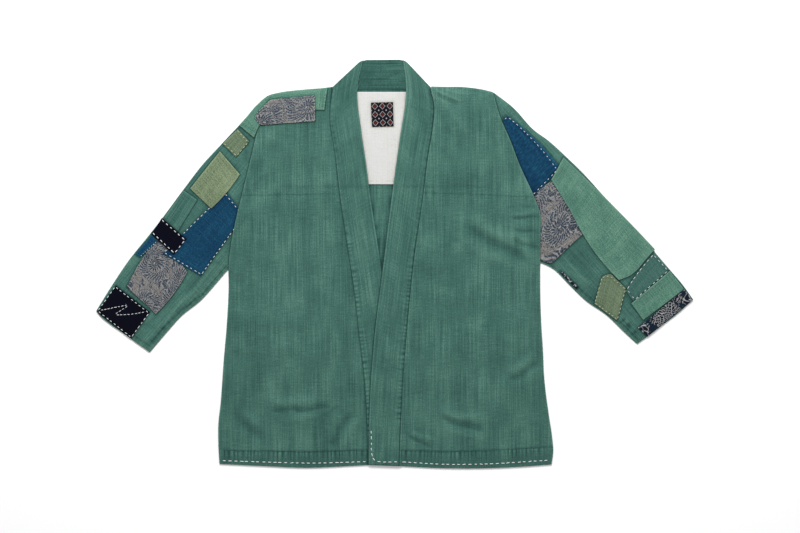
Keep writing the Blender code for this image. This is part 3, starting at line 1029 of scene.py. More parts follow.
@dataclass
class Wardrobe:
    """The finishes, each made once and shared by its pieces."""

    made: dict[Enum, bpy.types.Material] = field(default_factory=dict)
    weave: bpy.types.NodeTree = field(default_factory=weave_group)
    flowers: bpy.types.NodeTree = field(default_factory=flower_group)

    def finish(self, cloth: Cloth | Thread) -> bpy.types.Material:
        """The material of a cloth or thread, made on its first use."""
        if cloth not in self.made:
            if isinstance(cloth, Thread):
                self.thread(cloth)
            elif cloth is Cloth.LABEL:
                self.label(cloth)
            else:
                self.woven(cloth)
        return self.made[cloth]

    def start(self, cloth: Cloth | Thread,
              sheen: float) -> tuple[Desk, bpy.types.Node, Socket]:
        """A new material's desk, shader and place on the cloth in mm."""
        material = bpy.data.materials.new(cloth.value + "_finish")
        self.made[cloth] = material
        material.use_nodes = True
        desk = Desk(material.node_tree)
        shader = material.node_tree.nodes["Principled BSDF"]
        desk.feed(shader, {"Specular IOR Level": 0.06,
                           "Sheen Weight": sheen, "Sheen Roughness": 0.6})
        chart = desk.put("ShaderNodeUVMap", uv_map="cloth")
        return desk, shader, desk.scaled(chart.outputs[0], MM, MM)

    def woven(self, cloth: Cloth) -> None:
        """A woven cloth, printed over where it has a print."""
        dye = DYES[cloth]
        desk, shader, place = self.start(cloth, 0.03)
        colour, deep, pale = (shade(*tone) for tone in (
            dye.ground, dye.deep, dye.pale))
        if dye.motif:
            design = {"Net": 1.0, "Petals": 4.0}
            colour = desk.put("ShaderNodeGroup", {
                "Vector": desk.scaled(place, dye.motif, dye.motif, 0.4),
                "Ground": colour, "Motif": shade(*dye.ink),
                "Line": shade(*dye.line),
                **(design if cloth is Cloth.NIGHT else {})},
                node_tree=self.flowers).outputs[0]
            deep = desk.mix(1.0, colour, STREAK_DYE, "MULTIPLY")
            pale = desk.mix(0.4, colour, pale)
        wear_and_shade = desk.put("ShaderNodeAttribute", attribute_name="wear_and_shade")
        weave = desk.put("ShaderNodeGroup", {
            "Vector": place, "Colour": colour, "Deep": deep, "Pale": pale,
            "Streak": dye.streak, "Weft": dye.weft, "Mottle": dye.mottle,
            "Wear_and_shade": Value(desk, wear_and_shade.outputs["Fac"]) * WEAR_AND_SHADE_SHARE},
            node_tree=self.weave).outputs
        desk.coat(shader, weave["Colour"], weave["Roughness"],
                  weave["Height"], 0.55, 0.0004)

    def label(self, cloth: Cloth) -> None:
        """The neck label: a plain lattice of rust and white diamonds."""
        desk, shader, place = self.start(cloth, 0.02)
        across, along = (
            abs(desk.maths("FRACT", part) - 0.5)
            for part in desk.split(desk.scaled(place, 13.9, 15.2)))
        diamond = across + along
        line = desk.step(abs(diamond - 0.38), 0.045, 0.02)
        heart = desk.step(diamond, 0.27, 0.23)
        dot = desk.step(diamond, 0.87, 0.91)
        weft = desk.noise(place, 3.0, 0.5, 2.0)
        colour = desk.mix(heart, shade(15, 14, 24), shade(84, 30, 26))
        colour = desk.mix(line.most(dot), colour, shade(176, 174, 170))
        colour = desk.mix(weft * 0.5, colour, shade(20, 18, 28))
        desk.coat(shader, colour, 0.8, weft, 0.5, 0.0003)

    def thread(self, thread: Thread) -> None:
        """A twisted cotton thread."""
        desk, shader, place = self.start(thread, 0.1)
        ply = desk.noise(desk.scaled(place, 1, 1, 0.7), 0.35, 1.6, 1.0)
        light, dark = (shade(*strand) for strand in TWISTS[thread])
        colour = desk.mix(desk.step(ply, 0.35, 0.6), dark, light)
        desk.coat(shader, colour, 0.8, ply, 0.4, 0.0002)


# ---- the jacket's own sizes ----

# The stitched lines that gather the cloth
HEM_STITCH_LEFT: Line = ((-300, 29), (-225, 28), (-143, 26.5), (-34, 30))
HEM_STITCH_RIGHT: Line = ((27, 30), (113, 26.5), (184, 29), (308, 35.5))
YOKE_STITCH_LEFT: Line = ((-268, 500.5), (-180, 501.5), (-94, 503.5))
YOKE_STITCH_RIGHT: Line = ((70, 505), (150, 503), (236, 499), (272, 497))

FRONT_LEFT_RELIEF = Relief(
    folds=fold_rows(
        (-262, 546, -196, 590, 14, -0.8), (-244, 596, -168, 634, 14, 0.8),
        (-258, 520, -214, 548, 8, 0.8), (-268, 470, -190, 520, 18, 1.0),
        (-240, 640, -150, 560, 18, 0.9), (-214, 105, -160, 101, 9, -2.0, 0.3),
        (-172, 103, -100, 107, 8, -2.2, 0.3), (-214, 122, -112, 120, 13, 1.3),
        (-205, 91, -120, 89, 11, 1.0), (-118, 94, -84, 108, 7, -1.1),
        (-281, 106, -232, 44, 12, -2.0), (-262, 110, -222, 58, 11, 1.1),
        (-62, 96, -104, 36, 10, -2.2), (-50, 86, -86, 34, 10, 1.2),
        (-284, 330, -228, 344, 14, 0.8), (-110, 300, -84, 200, 18, 0.9),
        (-288, 214, -206, 196, 15, -0.8)),
    puckers=(
        Pucker(BAND_SEAM_LEFT, 12.5, 0.12, 5.0, 1, tone=0.18),
        Pucker(HEM_STITCH_LEFT, 7.4, 0.34, 14.0, -1, 0.55, 1.25),
        Pucker(YOKE_STITCH_LEFT, 14.0, 0.12, 6.0, 0, 0.12, 0.3),
    ),
    loft=2.6, ripple=0.42, seed=3)
FRONT_RIGHT_RELIEF = Relief(
    folds=fold_rows(
        (148, 448, 264, 372, 14, -2.6, 0.1),
        (190, 424, 230, 395, 7, -0.7, 0.3), (160, 464, 268, 400, 19, 2.2),
        (136, 430, 246, 354, 17, 1.6), (230, 458, 287, 459, 4.0, -2.2, 0.3),
        (232, 467, 284, 468, 7, 1.1), (236, 437, 286, 431, 4.5, -1.9),
        (244, 447, 284, 446, 6, 0.8), (236, 420, 284, 398, 8, -2.2),
        (246, 482, 280, 476, 5, -0.8), (250, 398, 284, 380, 8, 1.0),
        (104, 92, 180, 61, 10, -3.0, 0.3), (100, 106, 172, 82, 14, 1.5),
        (108, 74, 184, 46, 11, 1.2), (226, 160, 288, 188, 10, -2.2),
        (222, 174, 284, 206, 12, 1.2), (40, 57, 86, 31, 4.5, -2.2, 0.3),
        (46, 66, 94, 44, 8, 1.3), (90, 698, 140, 672, 3.5, 1.6),
        (92, 690, 134, 664, 5, -1.6, 0.3), (104, 700, 156, 684, 4, 1.1),
        (92, 684, 120, 600, 9, -1.2), (104, 690, 146, 610, 11, 1.2),
        (120, 660, 190, 580, 20, 0.9), (120, 520, 176, 528, 15, -0.9),
        (190, 660, 222, 566, 13, 0.8), (60, 340, 130, 310, 16, 0.8)),
    puckers=(
        Pucker(BAND_SEAM_RIGHT, 12.5, 0.12, 5.0, -1, tone=0.18),
        Pucker(HEM_STITCH_RIGHT, 7.4, 0.34, 14.0, -1, 0.55, 1.25),
        Pucker(YOKE_STITCH_RIGHT, 14.0, 0.12, 6.0, 0, 0.12, 0.3),
    ),
    loft=2.6, ripple=0.42, seed=8)
BAND_LEFT_RELIEF = Relief(
    folds=fold_rows(
        (-92, 664, -60, 640, 5, -0.5), (-84, 600, -50, 612, 5, 0.4),
        (-40, 430, -62, 452, 4, -0.5)),
    puckers=(Pucker(BAND_SEAM_LEFT[1:6], 8.6, 0.36, 9.0, 0, 0.25, 1.15),
             Pucker(BAND_SEAM_LEFT[5:], 11.5, 0.2, 6.0, 0, 0.25, 0.5)),
    loft=0.6, reach=9.0, ripple=0.18, seed=5)
BAND_RIGHT_RELIEF = Relief(
    folds=fold_rows(
        (44, 668, 80, 648, 5, -0.5), (36, 560, 70, 572, 5, 0.4),
        (12, 330, 40, 318, 4, -0.5), (-8, 210, 26, 222, 5, 0.4)),
    puckers=(Pucker(BAND_SEAM_RIGHT[1:5], 8.2, 0.36, 9.0, 0, 0.25, 1.15),
             Pucker(BAND_SEAM_RIGHT[4:], 12.5, 0.24, 6.0, 0, 0.25, 0.55)),
    loft=0.6, reach=9.0, ripple=0.18, seed=6)


BACK_STRETCH_FOLDS = fold_rows(
    (-36, 746, 28, 744, 3.5, -0.8), (-18, 717, 28, 725, 5, -1.1),
    (-30, 711, 32, 710, 4, 0.8), (-40, 732, 4, 731, 5, -0.5),
    (-2, 737, 30, 735, 4, 0.5), (-9, 751, -9, 722, 2.0, -0.5))


@dataclass(frozen=True)
class SleeveCut:
    """The two long folds of a flattened sleeve, armhole to cuff."""

    name: str
    side: int
    upper: Line
    under: Line
    cuff: Line
    turn: float
    relief: Relief


SLEEVES: tuple[SleeveCut, ...] = (
    SleeveCut(
        "sleeve_left", -1,
        ((-214, 685), (-243, 660), (-272, 629), (-302, 597), (-338, 558),
         (-374, 511), (-417, 453), (-439, 425), (-475, 380), (-504, 337),
         (-535, 287)),
        ((-291, 364), (-314, 337), (-341, 307), (-378, 277), (-404, 248),
         (-436, 210.5)),
        ((-528, 278), (-506, 260), (-484, 245), (-461.6, 228.5)),
        -0.70,
        Relief(
            folds=fold_rows(
                (-300, 410, -352, 330, 13, 1.3),
                (-322, 400, -372, 318, 11, -1.0),
                (-262, 540, -300, 470, 14, 1.0),
                (-330, 340, -430, 250, 9, 1.1),
                (-360, 330, -440, 262, 8, -0.8),
                (-250, 606, -263, 558, 5, -1.8),
                (-246, 622, -276, 590, 7, 0.8),
                (-420, 246, -452, 268, 7, -0.8),
                (-441, 223, -406, 256, 3.2, -1.6),
                (-446, 230, -412, 262, 5, 0.8),
                (-352, 298, -388, 288, 6, -1.0),
                (-300, 372, -330, 378, 5, -1.2),
                (-296, 396, -328, 360, 5, 0.9)),
            puckers=(Pucker(((-294, 370), (-338, 318), (-380, 285),
                             (-410, 256), (-436, 223)), 11.0, 0.25, 5.0, 0,
                            0.6, 0.5),
                     Pucker(((-528, 294), (-471, 246), (-437, 222)),
                            10.0, 0.2, 5.0, 0, 0.35, 0.4)),
            loft=2.6, reach=20.0, ripple=0.4, seed=11)),
    SleeveCut(
        "sleeve_right", 1,
        ((200, 691), (236, 663), (275, 621), (301, 602), (332, 574),
         (364, 543), (404, 499), (447, 454), (495, 399), (525, 364),
         (549, 336), (569, 308)),
        ((288, 376), (308, 366), (339, 336), (369, 307), (410, 278),
         (441, 248), (465, 226)),
        ((538, 280.5), (515, 263), (493, 246)),
        0.72,
        Relief(
            folds=fold_rows(
                (312, 420, 372, 330, 14, 1.4), (318, 384, 352, 372, 4, -1.2),
                (330, 372, 376, 344, 4, -1.2), (352, 366, 392, 322, 6, 0.9),
                (224, 672, 262, 628, 5, -1.0), (340, 400, 392, 318, 12, -1.1),
                (236, 650, 300, 590, 9, 0.8), (240, 600, 290, 560, 9, -1.1),
                (262, 596, 300, 552, 9, 0.9), (430, 300, 470, 262, 8, -0.9),
                (438, 274, 454, 246, 5, -1.2)),
            puckers=(Pucker(((296, 377), (330, 352), (374, 314),
                             (416, 283), (446, 254), (466, 234)),
                            11.0, 0.22, 5.0, 0, 0.6, 0.5),
                     Pucker(((437, 272), (462, 247)), 12.0, 0.3,
                            5.0, 0, 0.45, 1.0)),
            loft=2.6, reach=20.0, ripple=0.4, seed=12)),
)


@dataclass(frozen=True)
class Patch:
    """A patch: its corners round it, its bowed sides and its sewn sides."""

    name: str
    cloth: Cloth
    corners: tuple[Point, Point, Point, Point]
    bow: tuple[float, float, float, float] = (0, 0, 0, 0)
    bends: tuple[Line, Line, Line, Line] = ((), (), (), ())
    folds: tuple[Fold, ...] = ()
    sewn: str = ""
    thread: Thread = Thread.WHITE
    inset: float = 2.6
    pitch: float = 8.7
    long: float = 4.7
    gauge: float = 1.15
    shift: Point = (0, 0)

    def sizes(self) -> tuple[float, float]:
        """The lengths of the first and the second side."""
        one, two, three, _ = (np.array(c, float) for c in self.corners)
        return (float(np.linalg.norm(two - one)),
                float(np.linalg.norm(three - two)))

    def cut(self) -> tuple[float, float]:
        """The width and length of the cloth that it is cut from, in metres.

        Each is the longer one of two facing sides, with its bow.
        """
        rows = np.array(self.corners, float)
        sides = np.linalg.norm(np.roll(rows, -1, axis=0) - rows, axis=1)
        bows = np.abs(self.bow) + 1.0
        return (max(LEAST_CUT, sides[::2].max() + bows[1] + bows[3]) * MM,
                max(LEAST_CUT, sides[1::2].max() + bows[0] + bows[2]) * MM)

    def net(self, across: np.ndarray, along: np.ndarray) -> np.ndarray:
        """Its net at the given stations, from the first side downwards."""
        sides = []
        for k, at in enumerate((across, along, 1 - across, 1 - along)):
            start, end = self.corners[k], self.corners[(k + 1) % 4]
            sides.append(smooth_line((start, *self.bends[k], end), at)
                         if self.bends[k]
                         else bowed_side(start, end, self.bow[k], at))
        return fill_in(sides[0], sides[2], sides[3], sides[1], across, along)

    def seam(self, side: int) -> np.ndarray:
        """The line of the stitches along one side, set in from the edge."""
        wide, deep = self.sizes()
        u, v = self.inset / wide, self.inset / deep
        t = np.linspace(0, 1, 40)
        span_u, span_v = u + (1 - 2 * u) * t, v + (1 - 2 * v) * t
        net = self.net(np.concatenate(([u, 1 - u], span_u)),
                       np.concatenate(([v, 1 - v], span_v)))
        return {1: net[0, 2:], 2: net[2:, 1], 3: net[1, :1:-1],
                4: net[:1:-1, 0]}[side]


SLEEVE_PATCHES: tuple[Patch, ...] = (
    Patch("patch_left_strip", Cloth.GREEN,
          ((-373, 510), (-348, 492), (-384, 434), (-412, 456)),
          folds=fold_rows((-360, 502, -398, 444, 18, -0.7)), sewn="2",
          thread=Thread.SHADE, inset=5.0, pitch=4.4, long=2.0, gauge=0.8),
    Patch("patch_left_print", Cloth.PRINT,
          ((-420, 422), (-366, 359), (-424, 281), (-478, 331)),
          (2, 4, 0, 4), shift=(12, 40)),
    Patch("patch_left_sliver", Cloth.BLUE,
          ((-432, 427), (-421, 416), (-454, 386), (-462, 392)), sewn="2",
          inset=1.4, pitch=5.0, long=2.2, gauge=0.8),
    Patch("patch_left_blue", Cloth.BLUE,
          ((-295, 507), (-261, 464), (-341, 352), (-411, 393)), sewn="1234"),
    Patch("patch_left_cuff", Cloth.NAVY,
          ((-498, 334), (-435, 285), (-471, 236), (-533, 285)), sewn="1234",
          pitch=8.4, long=5.3, gauge=1.3),
    Patch("patch_left_navy", Cloth.NAVY,
          ((-413, 459), (-368, 420), (-391, 391), (-433, 430)), sewn="123",
          pitch=9.4, long=5.8, gauge=1.5, inset=3.0),
    Patch("patch_left_pale", Cloth.PALE,
          ((-306, 582), (-269, 539), (-322, 476), (-361, 513)),
          (0, 3, 0, 0)),
    Patch("patch_left_olive", Cloth.OLIVE,
          ((-273, 623), (-252, 600), (-276, 571), (-301, 596)), sewn="123",
          thread=Thread.CREAM, inset=2.4, pitch=7.4, long=4.6, gauge=1.1),
    Patch("patch_right_print", Cloth.PRINT,
          ((264, 500), (310, 529), (367, 431), (287, 380)),
          bends=((), (), ((345, 411), (322, 389), (305, 375)), ()),
          shift=(31, 12)),
    Patch("patch_right_blue", Cloth.BLUE,
          ((216, 641), (225, 647), (323, 550), (268, 494)), (0, 6, 0, -2),
          folds=fold_rows(
              (252, 595, 284, 568, 4, -1.1), (244, 588, 270, 570, 5, 0.6),
              (262, 606, 288, 588, 5, 0.6), (238, 602, 256, 590, 4, -0.7)),
          sewn="123", inset=2.2, pitch=8.6, long=4.4, gauge=1.15),
    Patch("patch_right_olive", Cloth.OLIVE,
          ((400, 350), (444, 329), (428, 269), (386, 300)),
          bends=(((408, 353.5), (416, 354.5), (424, 347)), (), (), ()),
          sewn="1234", thread=Thread.CREAM, inset=2.3, pitch=7.2, long=4.6,
          gauge=1.15),
    Patch("patch_right_light", Cloth.LIGHT,
          ((329, 571), (498, 401), (431, 344), (306, 529)), (2, 0, 0, 0),
          bends=((), ((480, 381), (465, 363), (453, 353)),
                 ((416.6, 358.7), (385, 397), (366, 426), (337, 479)), ()),
          folds=fold_rows(
              (326, 552, 366, 508, 6, -0.7), (352, 520, 420, 452, 10, 0.5))),
    Patch("patch_right_dark", Cloth.DARK,
          ((497, 394), (525, 363), (458, 305), (444, 324)), (0, 0, 0, 3),
          sewn="1234", inset=3.6, gauge=1.1, pitch=9.6, long=5.6),
    Patch("patch_right_stripe", Cloth.LIGHT,
          ((525, 361), (552, 327), (476, 270), (454, 301))),
    Patch("patch_right_cuff", Cloth.NIGHT,
          ((552, 327), (568, 308), (484, 239), (466, 256))),
)
EDGE_SLIVER = Patch("edge_sliver", Cloth.NIGHT,
                    ((326.5, 360), (356, 331), (353, 327.5), (323.5, 356.5)))
SHOULDER_PATCHES: tuple[Patch, ...] = (
    Patch("patch_shoulder_light", Cloth.LIGHT,
          ((-271, 630), (-107, 699.5), (-113, 658), (-243, 607)),
          bends=(((-257, 645.5), (-239, 666.5), (-217.5, 684.5),
                  (-195, 691), (-172, 694.2), (-150, 696.4)), (),
                 ((-131, 658), (-180, 650), (-232, 630)), ()),
          folds=fold_rows(
              (-114.5, 700, -118, 658, 2.2, -2.6),
              (-270, 636, -238, 615, 2.2, -2.6),
              (-212, 683, -226, 652, 4, -2.4)),
          sewn="24", thread=Thread.SHADE, inset=3.4, pitch=3.6, long=2.9,
          gauge=0.6),
    Patch("patch_shoulder_print", Cloth.PRINT,
          ((-213, 677), (-131, 685), (-130, 637), (-230, 630)),
          bends=((), (), (), ((-239.5, 641),)), sewn="234",
          thread=Thread.CREAM, inset=1.3, pitch=5.4, long=2.4, gauge=0.7,
          shift=(55, -20)),
)
LABEL = Patch("neck_label", Cloth.LABEL,
              ((-27, 672), (14, 673), (15, 628), (-25, 627)))


@dataclass(frozen=True)
class Running:
    """A line of running stitches that is not on a patch's side."""

    carrier: str
    thread: Thread
    line: Line
    pitch: float = 10.0
    long: float = 6.2
    gauge: float = 1.5


RUNNINGS: tuple[Running, ...] = (
    Running("front_left", Thread.WHITE,
            ((-303, 10.3), (-225, 7.8), (-143, 5.8), (-34, 8.5))),
    Running("band_right", Thread.WHITE,
            ((-26.5, 68), (-26, 44), (-25, 22), (-22.5, 14.5), (-17.5, 10),
             (-9, 8.6), (24, 8.5))),
    Running("front_right", Thread.WHITE,
            ((30, 8), (112, 3.5), (172, 3.8), (302, 11))),
    Running("patch_left_cuff", Thread.WHITE,
            ((-527, 288), (-502, 293), (-476.5, 298)), 6.4, 4.4, 1.1),
    Running("patch_left_cuff", Thread.WHITE,
            ((-476, 296), (-487, 289), (-499, 281)), 6.4, 4.4, 1.1),
    Running("patch_left_cuff", Thread.WHITE,
            ((-498, 279.5), (-470, 281), (-444, 285)), 6.4, 4.4, 1.1),
    Running("patch_shoulder_light", Thread.SHADE,
            ((-119, 694), (-122, 662)), 3.6, 2.8, 0.6),
    Running("front_left", Thread.SELF, HEM_STITCH_LEFT, 4.2, 3.2, 0.55),
    Running("front_right", Thread.SELF, HEM_STITCH_RIGHT, 4.2, 3.2, 0.55),
    Running("front_left", Thread.SELF, YOKE_STITCH_LEFT, 4.6, 3.2, 0.5),
    Running("front_right", Thread.SELF, YOKE_STITCH_RIGHT, 4.6, 3.2, 0.5),
)


# ---- the pieces ----


def plan_size(net: np.ndarray) -> tuple[float, float]:
    """The width and the height of a net in plan, in metres."""
    span = (net.reshape(-1, 2).max(0) - net.reshape(-1, 2).min(0)) * MM
    return float(span[0]), float(span[1])


@dataclass
class Maker:
    """What every sub-assembly shares: the heap, the finishes and the log."""

    heap: Heap
    wardrobe: Wardrobe
    made: list[bpy.types.Object] = field(default_factory=list)
    marks: list[tuple[bpy.types.Object, int, str, np.ndarray]] = field(
        default_factory=list)

    def shade_edges(self) -> None:
        """Paint shade on each cloth beside the edges of the cloths above it."""
        for piece, start, layer, net in self.marks:
            wear_and_shade = piece.data.attributes["wear_and_shade"]
            values = np.empty(len(piece.data.vertices), dtype=np.float32)
            wear_and_shade.data.foreach_get("value", values)
            dark = self.heap.shade(layer, net).ravel()
            # The upper edges' painted shade is taken off each point's tone
            values[start:start + len(dark)] -= SHADE_SHARE * dark
            wear_and_shade.data.foreach_set("value", values)

    def dress(self, piece: bpy.types.Object, cloth: Cloth | Thread) -> None:
        """Give a piece its finish, put it on the jacket and report it."""
        piece.data.materials.append(self.wardrobe.finish(cloth))
        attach(piece, "root")
        self.made.append(piece)
        LOG.info("%s: %d faces", piece.name, len(piece.data.polygons))

    def cloth(self, piece: bpy.types.Object, node: str, cloth: Cloth,
              size: tuple[float, float], area: float) -> None:
        """Finish a cloth piece that stands for a node of the frame.

        Args:
            piece: The piece.
            node: The node that it replaces.
            cloth: Its cloth.
            size: The width and length of its cut, in metres. Not used.
            area: The area of its cut, in square metres. Not used.
        """
        self.dress(piece, cloth)
        if node != EDGE_SLIVER.name:
            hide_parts(node)

    def panel(self, node: str, net: np.ndarray, base: np.ndarray,
              tone: np.ndarray, cloth: Cloth = Cloth.GREEN,
              thick: float = CLOTH, rim: float = 1.0,
              uv: np.ndarray | None = None,
              cut: tuple[float, float] | None = None) -> None:
        """Make the cloth piece that lies over one net.

        Args:
            node: The node that it replaces, also its layer's name.
            net: Its net in plan.
            base: The height of its underside.
            tone: How worn it is, with its painted shade and light.
            cloth: Its cloth.
            thick: Its thickness.
            rim: The width over which its edge is rounded.
            uv: Its place on the cloth, where that isn't its place in plan.
            cut: The width and length of its cut, where they aren't its span.
        """
        piece = shell(node + "_cloth", net, base, thick,
                      net * MM if uv is None else uv, tone, rim)
        self.marks.append((piece, 0, node, net))
        self.cloth(piece, node, cloth, cut or plan_size(net), flat_area(net))


def edge_rubbing_and_highlight(net: np.ndarray, reach: float = 1.6,
              strong: float = 0.75) -> np.ndarray:
    """The lighter line along a net's own edge: rubbing and a painted highlight.
    """
    return strong * np.exp(-edge_gap(net) / reach)


@dataclass
class Body:
    """The back, the two fronts and the yoke lining with its label."""

    maker: Maker
    cell: float = 2.25

    def build_back(self) -> None:
        """The back: flat underneath, all of it in one net."""
        across, along = stations(610, 8.0), stations(700, 8.0)
        hem = smooth_line(HEM, across) + (0, 1.2)
        top = corner_line(SHOULDERS, across) - (0, SEAM)
        left, right = (smooth_line(side, along)
                       for side in (SIDE_LEFT, SIDE_RIGHT))
        left, right = left + (1.4, 0), right - (1.4, 0)
        for side, k in ((left, 0), (right, -1)):
            side[0], side[-1] = hem[k], top[k]
        net = fill_in(hem, top, left, right, across, along)
        base = self.maker.heap.lay("back", net, CLOTH, floor=True)
        self.maker.panel("back", net, base, edge_rubbing_and_highlight(net))

    def build_lining(self) -> None:
        """The off-white lining across the inside of the shoulders."""
        across, along = stations(386, 3.0), stations(171, 3.0)
        net = fill_in(
            corner_line(((-194, 521), (192, 521)), across),
            corner_line(((-194, 684), (-51, 692), (38, 692), (192, 685)),
                        across),
            corner_line(((-194, 521), (-194, 684)), along),
            corner_line(((192, 521), (192, 685)), along), across, along)
        relief = Relief(
            folds=fold_rows(
                (-40, 660, -20, 560, 8, 0.5), (10, 640, 6, 560, 8, 0.5)),
            puckers=(Pucker(((-194, 526), (192, 526)), 11, 0.12, 4, 0, 0.2,
                            0.2),), ripple=0.14, seed=21)
        base = self.maker.heap.lay("yoke_lining", net, LINING_CLOTH, relief)
        tone = edge_rubbing_and_highlight(net) * 0.5 + relief.tone(net)
        self.maker.panel("yoke_lining", net, base, tone, Cloth.LINING,
                         LINING_CLOTH)

    def build_front(self, name: str, side: Line, seam: Line, hem: Line,
                    top: Line, relief: Relief,
                    beside: Iterable[str] = ()) -> None:
        """One front, from its left edge to its right edge.

        Args:
            name: The node's name.
            side: Its left edge, hem to shoulder.
            seam: Its right edge, hem to shoulder.
            hem: Its hem, left to right.
            top: Its shoulder, left to right.
            relief: Its folds and gathers.
            beside: What it meets edge to edge.
        """
        across, along = stations(280, self.cell), stations(700, self.cell)
        left, right = smooth_line(side, along), smooth_line(seam, along)
        low, high = smooth_line(hem, across), smooth_line(top, across)
        for edge, k in ((left, 0), (right, -1)):
            edge[0], edge[-1] = low[k], high[k]
        net = fill_in(low, high, left, right, across, along)
        base = self.maker.heap.lay(name, net, CLOTH, relief, beside)
        tone = edge_rubbing_and_highlight(net) + relief.tone(net) - 0.28 * soft_step(
            (HEM_TOP - net[..., 1]) / 3)
        self.maker.panel(name, net, base, tone, rim=FRONT_RIM)

    def fronts(self) -> None:
        """Both fronts, with the neck band laid between them in time."""
        seam = tuple((x - BAND_GAP, y) for x, y in BAND_SEAM_LEFT)
        self.build_front(
            "front_left", SIDE_LEFT, seam,
            HEM[:3] + (seam[0],),
            ((-213, 684.5), (-194, 689.5), (-172, 692.5), (-150, 695),
             (-97, 701.5)),
            FRONT_LEFT_RELIEF)
        NeckBand(self.maker).build()
        seam = tuple((x + BAND_GAP, y) for x, y in BAND_SEAM_RIGHT)
        self.build_front(
            "front_right", seam, SIDE_RIGHT, (seam[0],) + HEM[5:],
            ((85, 702), (115, 701.5), (138, 701.5), (160, 699.5),
             (182, 696), (198.5, 691.5)),
            FRONT_RIGHT_RELIEF, ("band_right",))


def blunt(points: np.ndarray, reach: float = 9.0) -> np.ndarray:
    """Round the two upper corners of the neck band in plan.

    Points within the reach of a corner move inwards, most at the corner
    itself, by the square of how near they are.
    """
    points = points.copy()
    for free, way in ((BAND_FREE_LEFT, (0.62, -0.78)),
                      (BAND_FREE_RIGHT, (-0.62, -0.78))):
        corner = (np.array(free[-1]) - MIDDLE) * MM
        away = np.linalg.norm(points[..., :2] - corner, axis=-1) / MM
        pull = 3.0 * np.clip(1 - away / reach, 0, 1) ** 1.5
        points[..., :2] += pull[..., None] * np.array(way) * MM
    return points


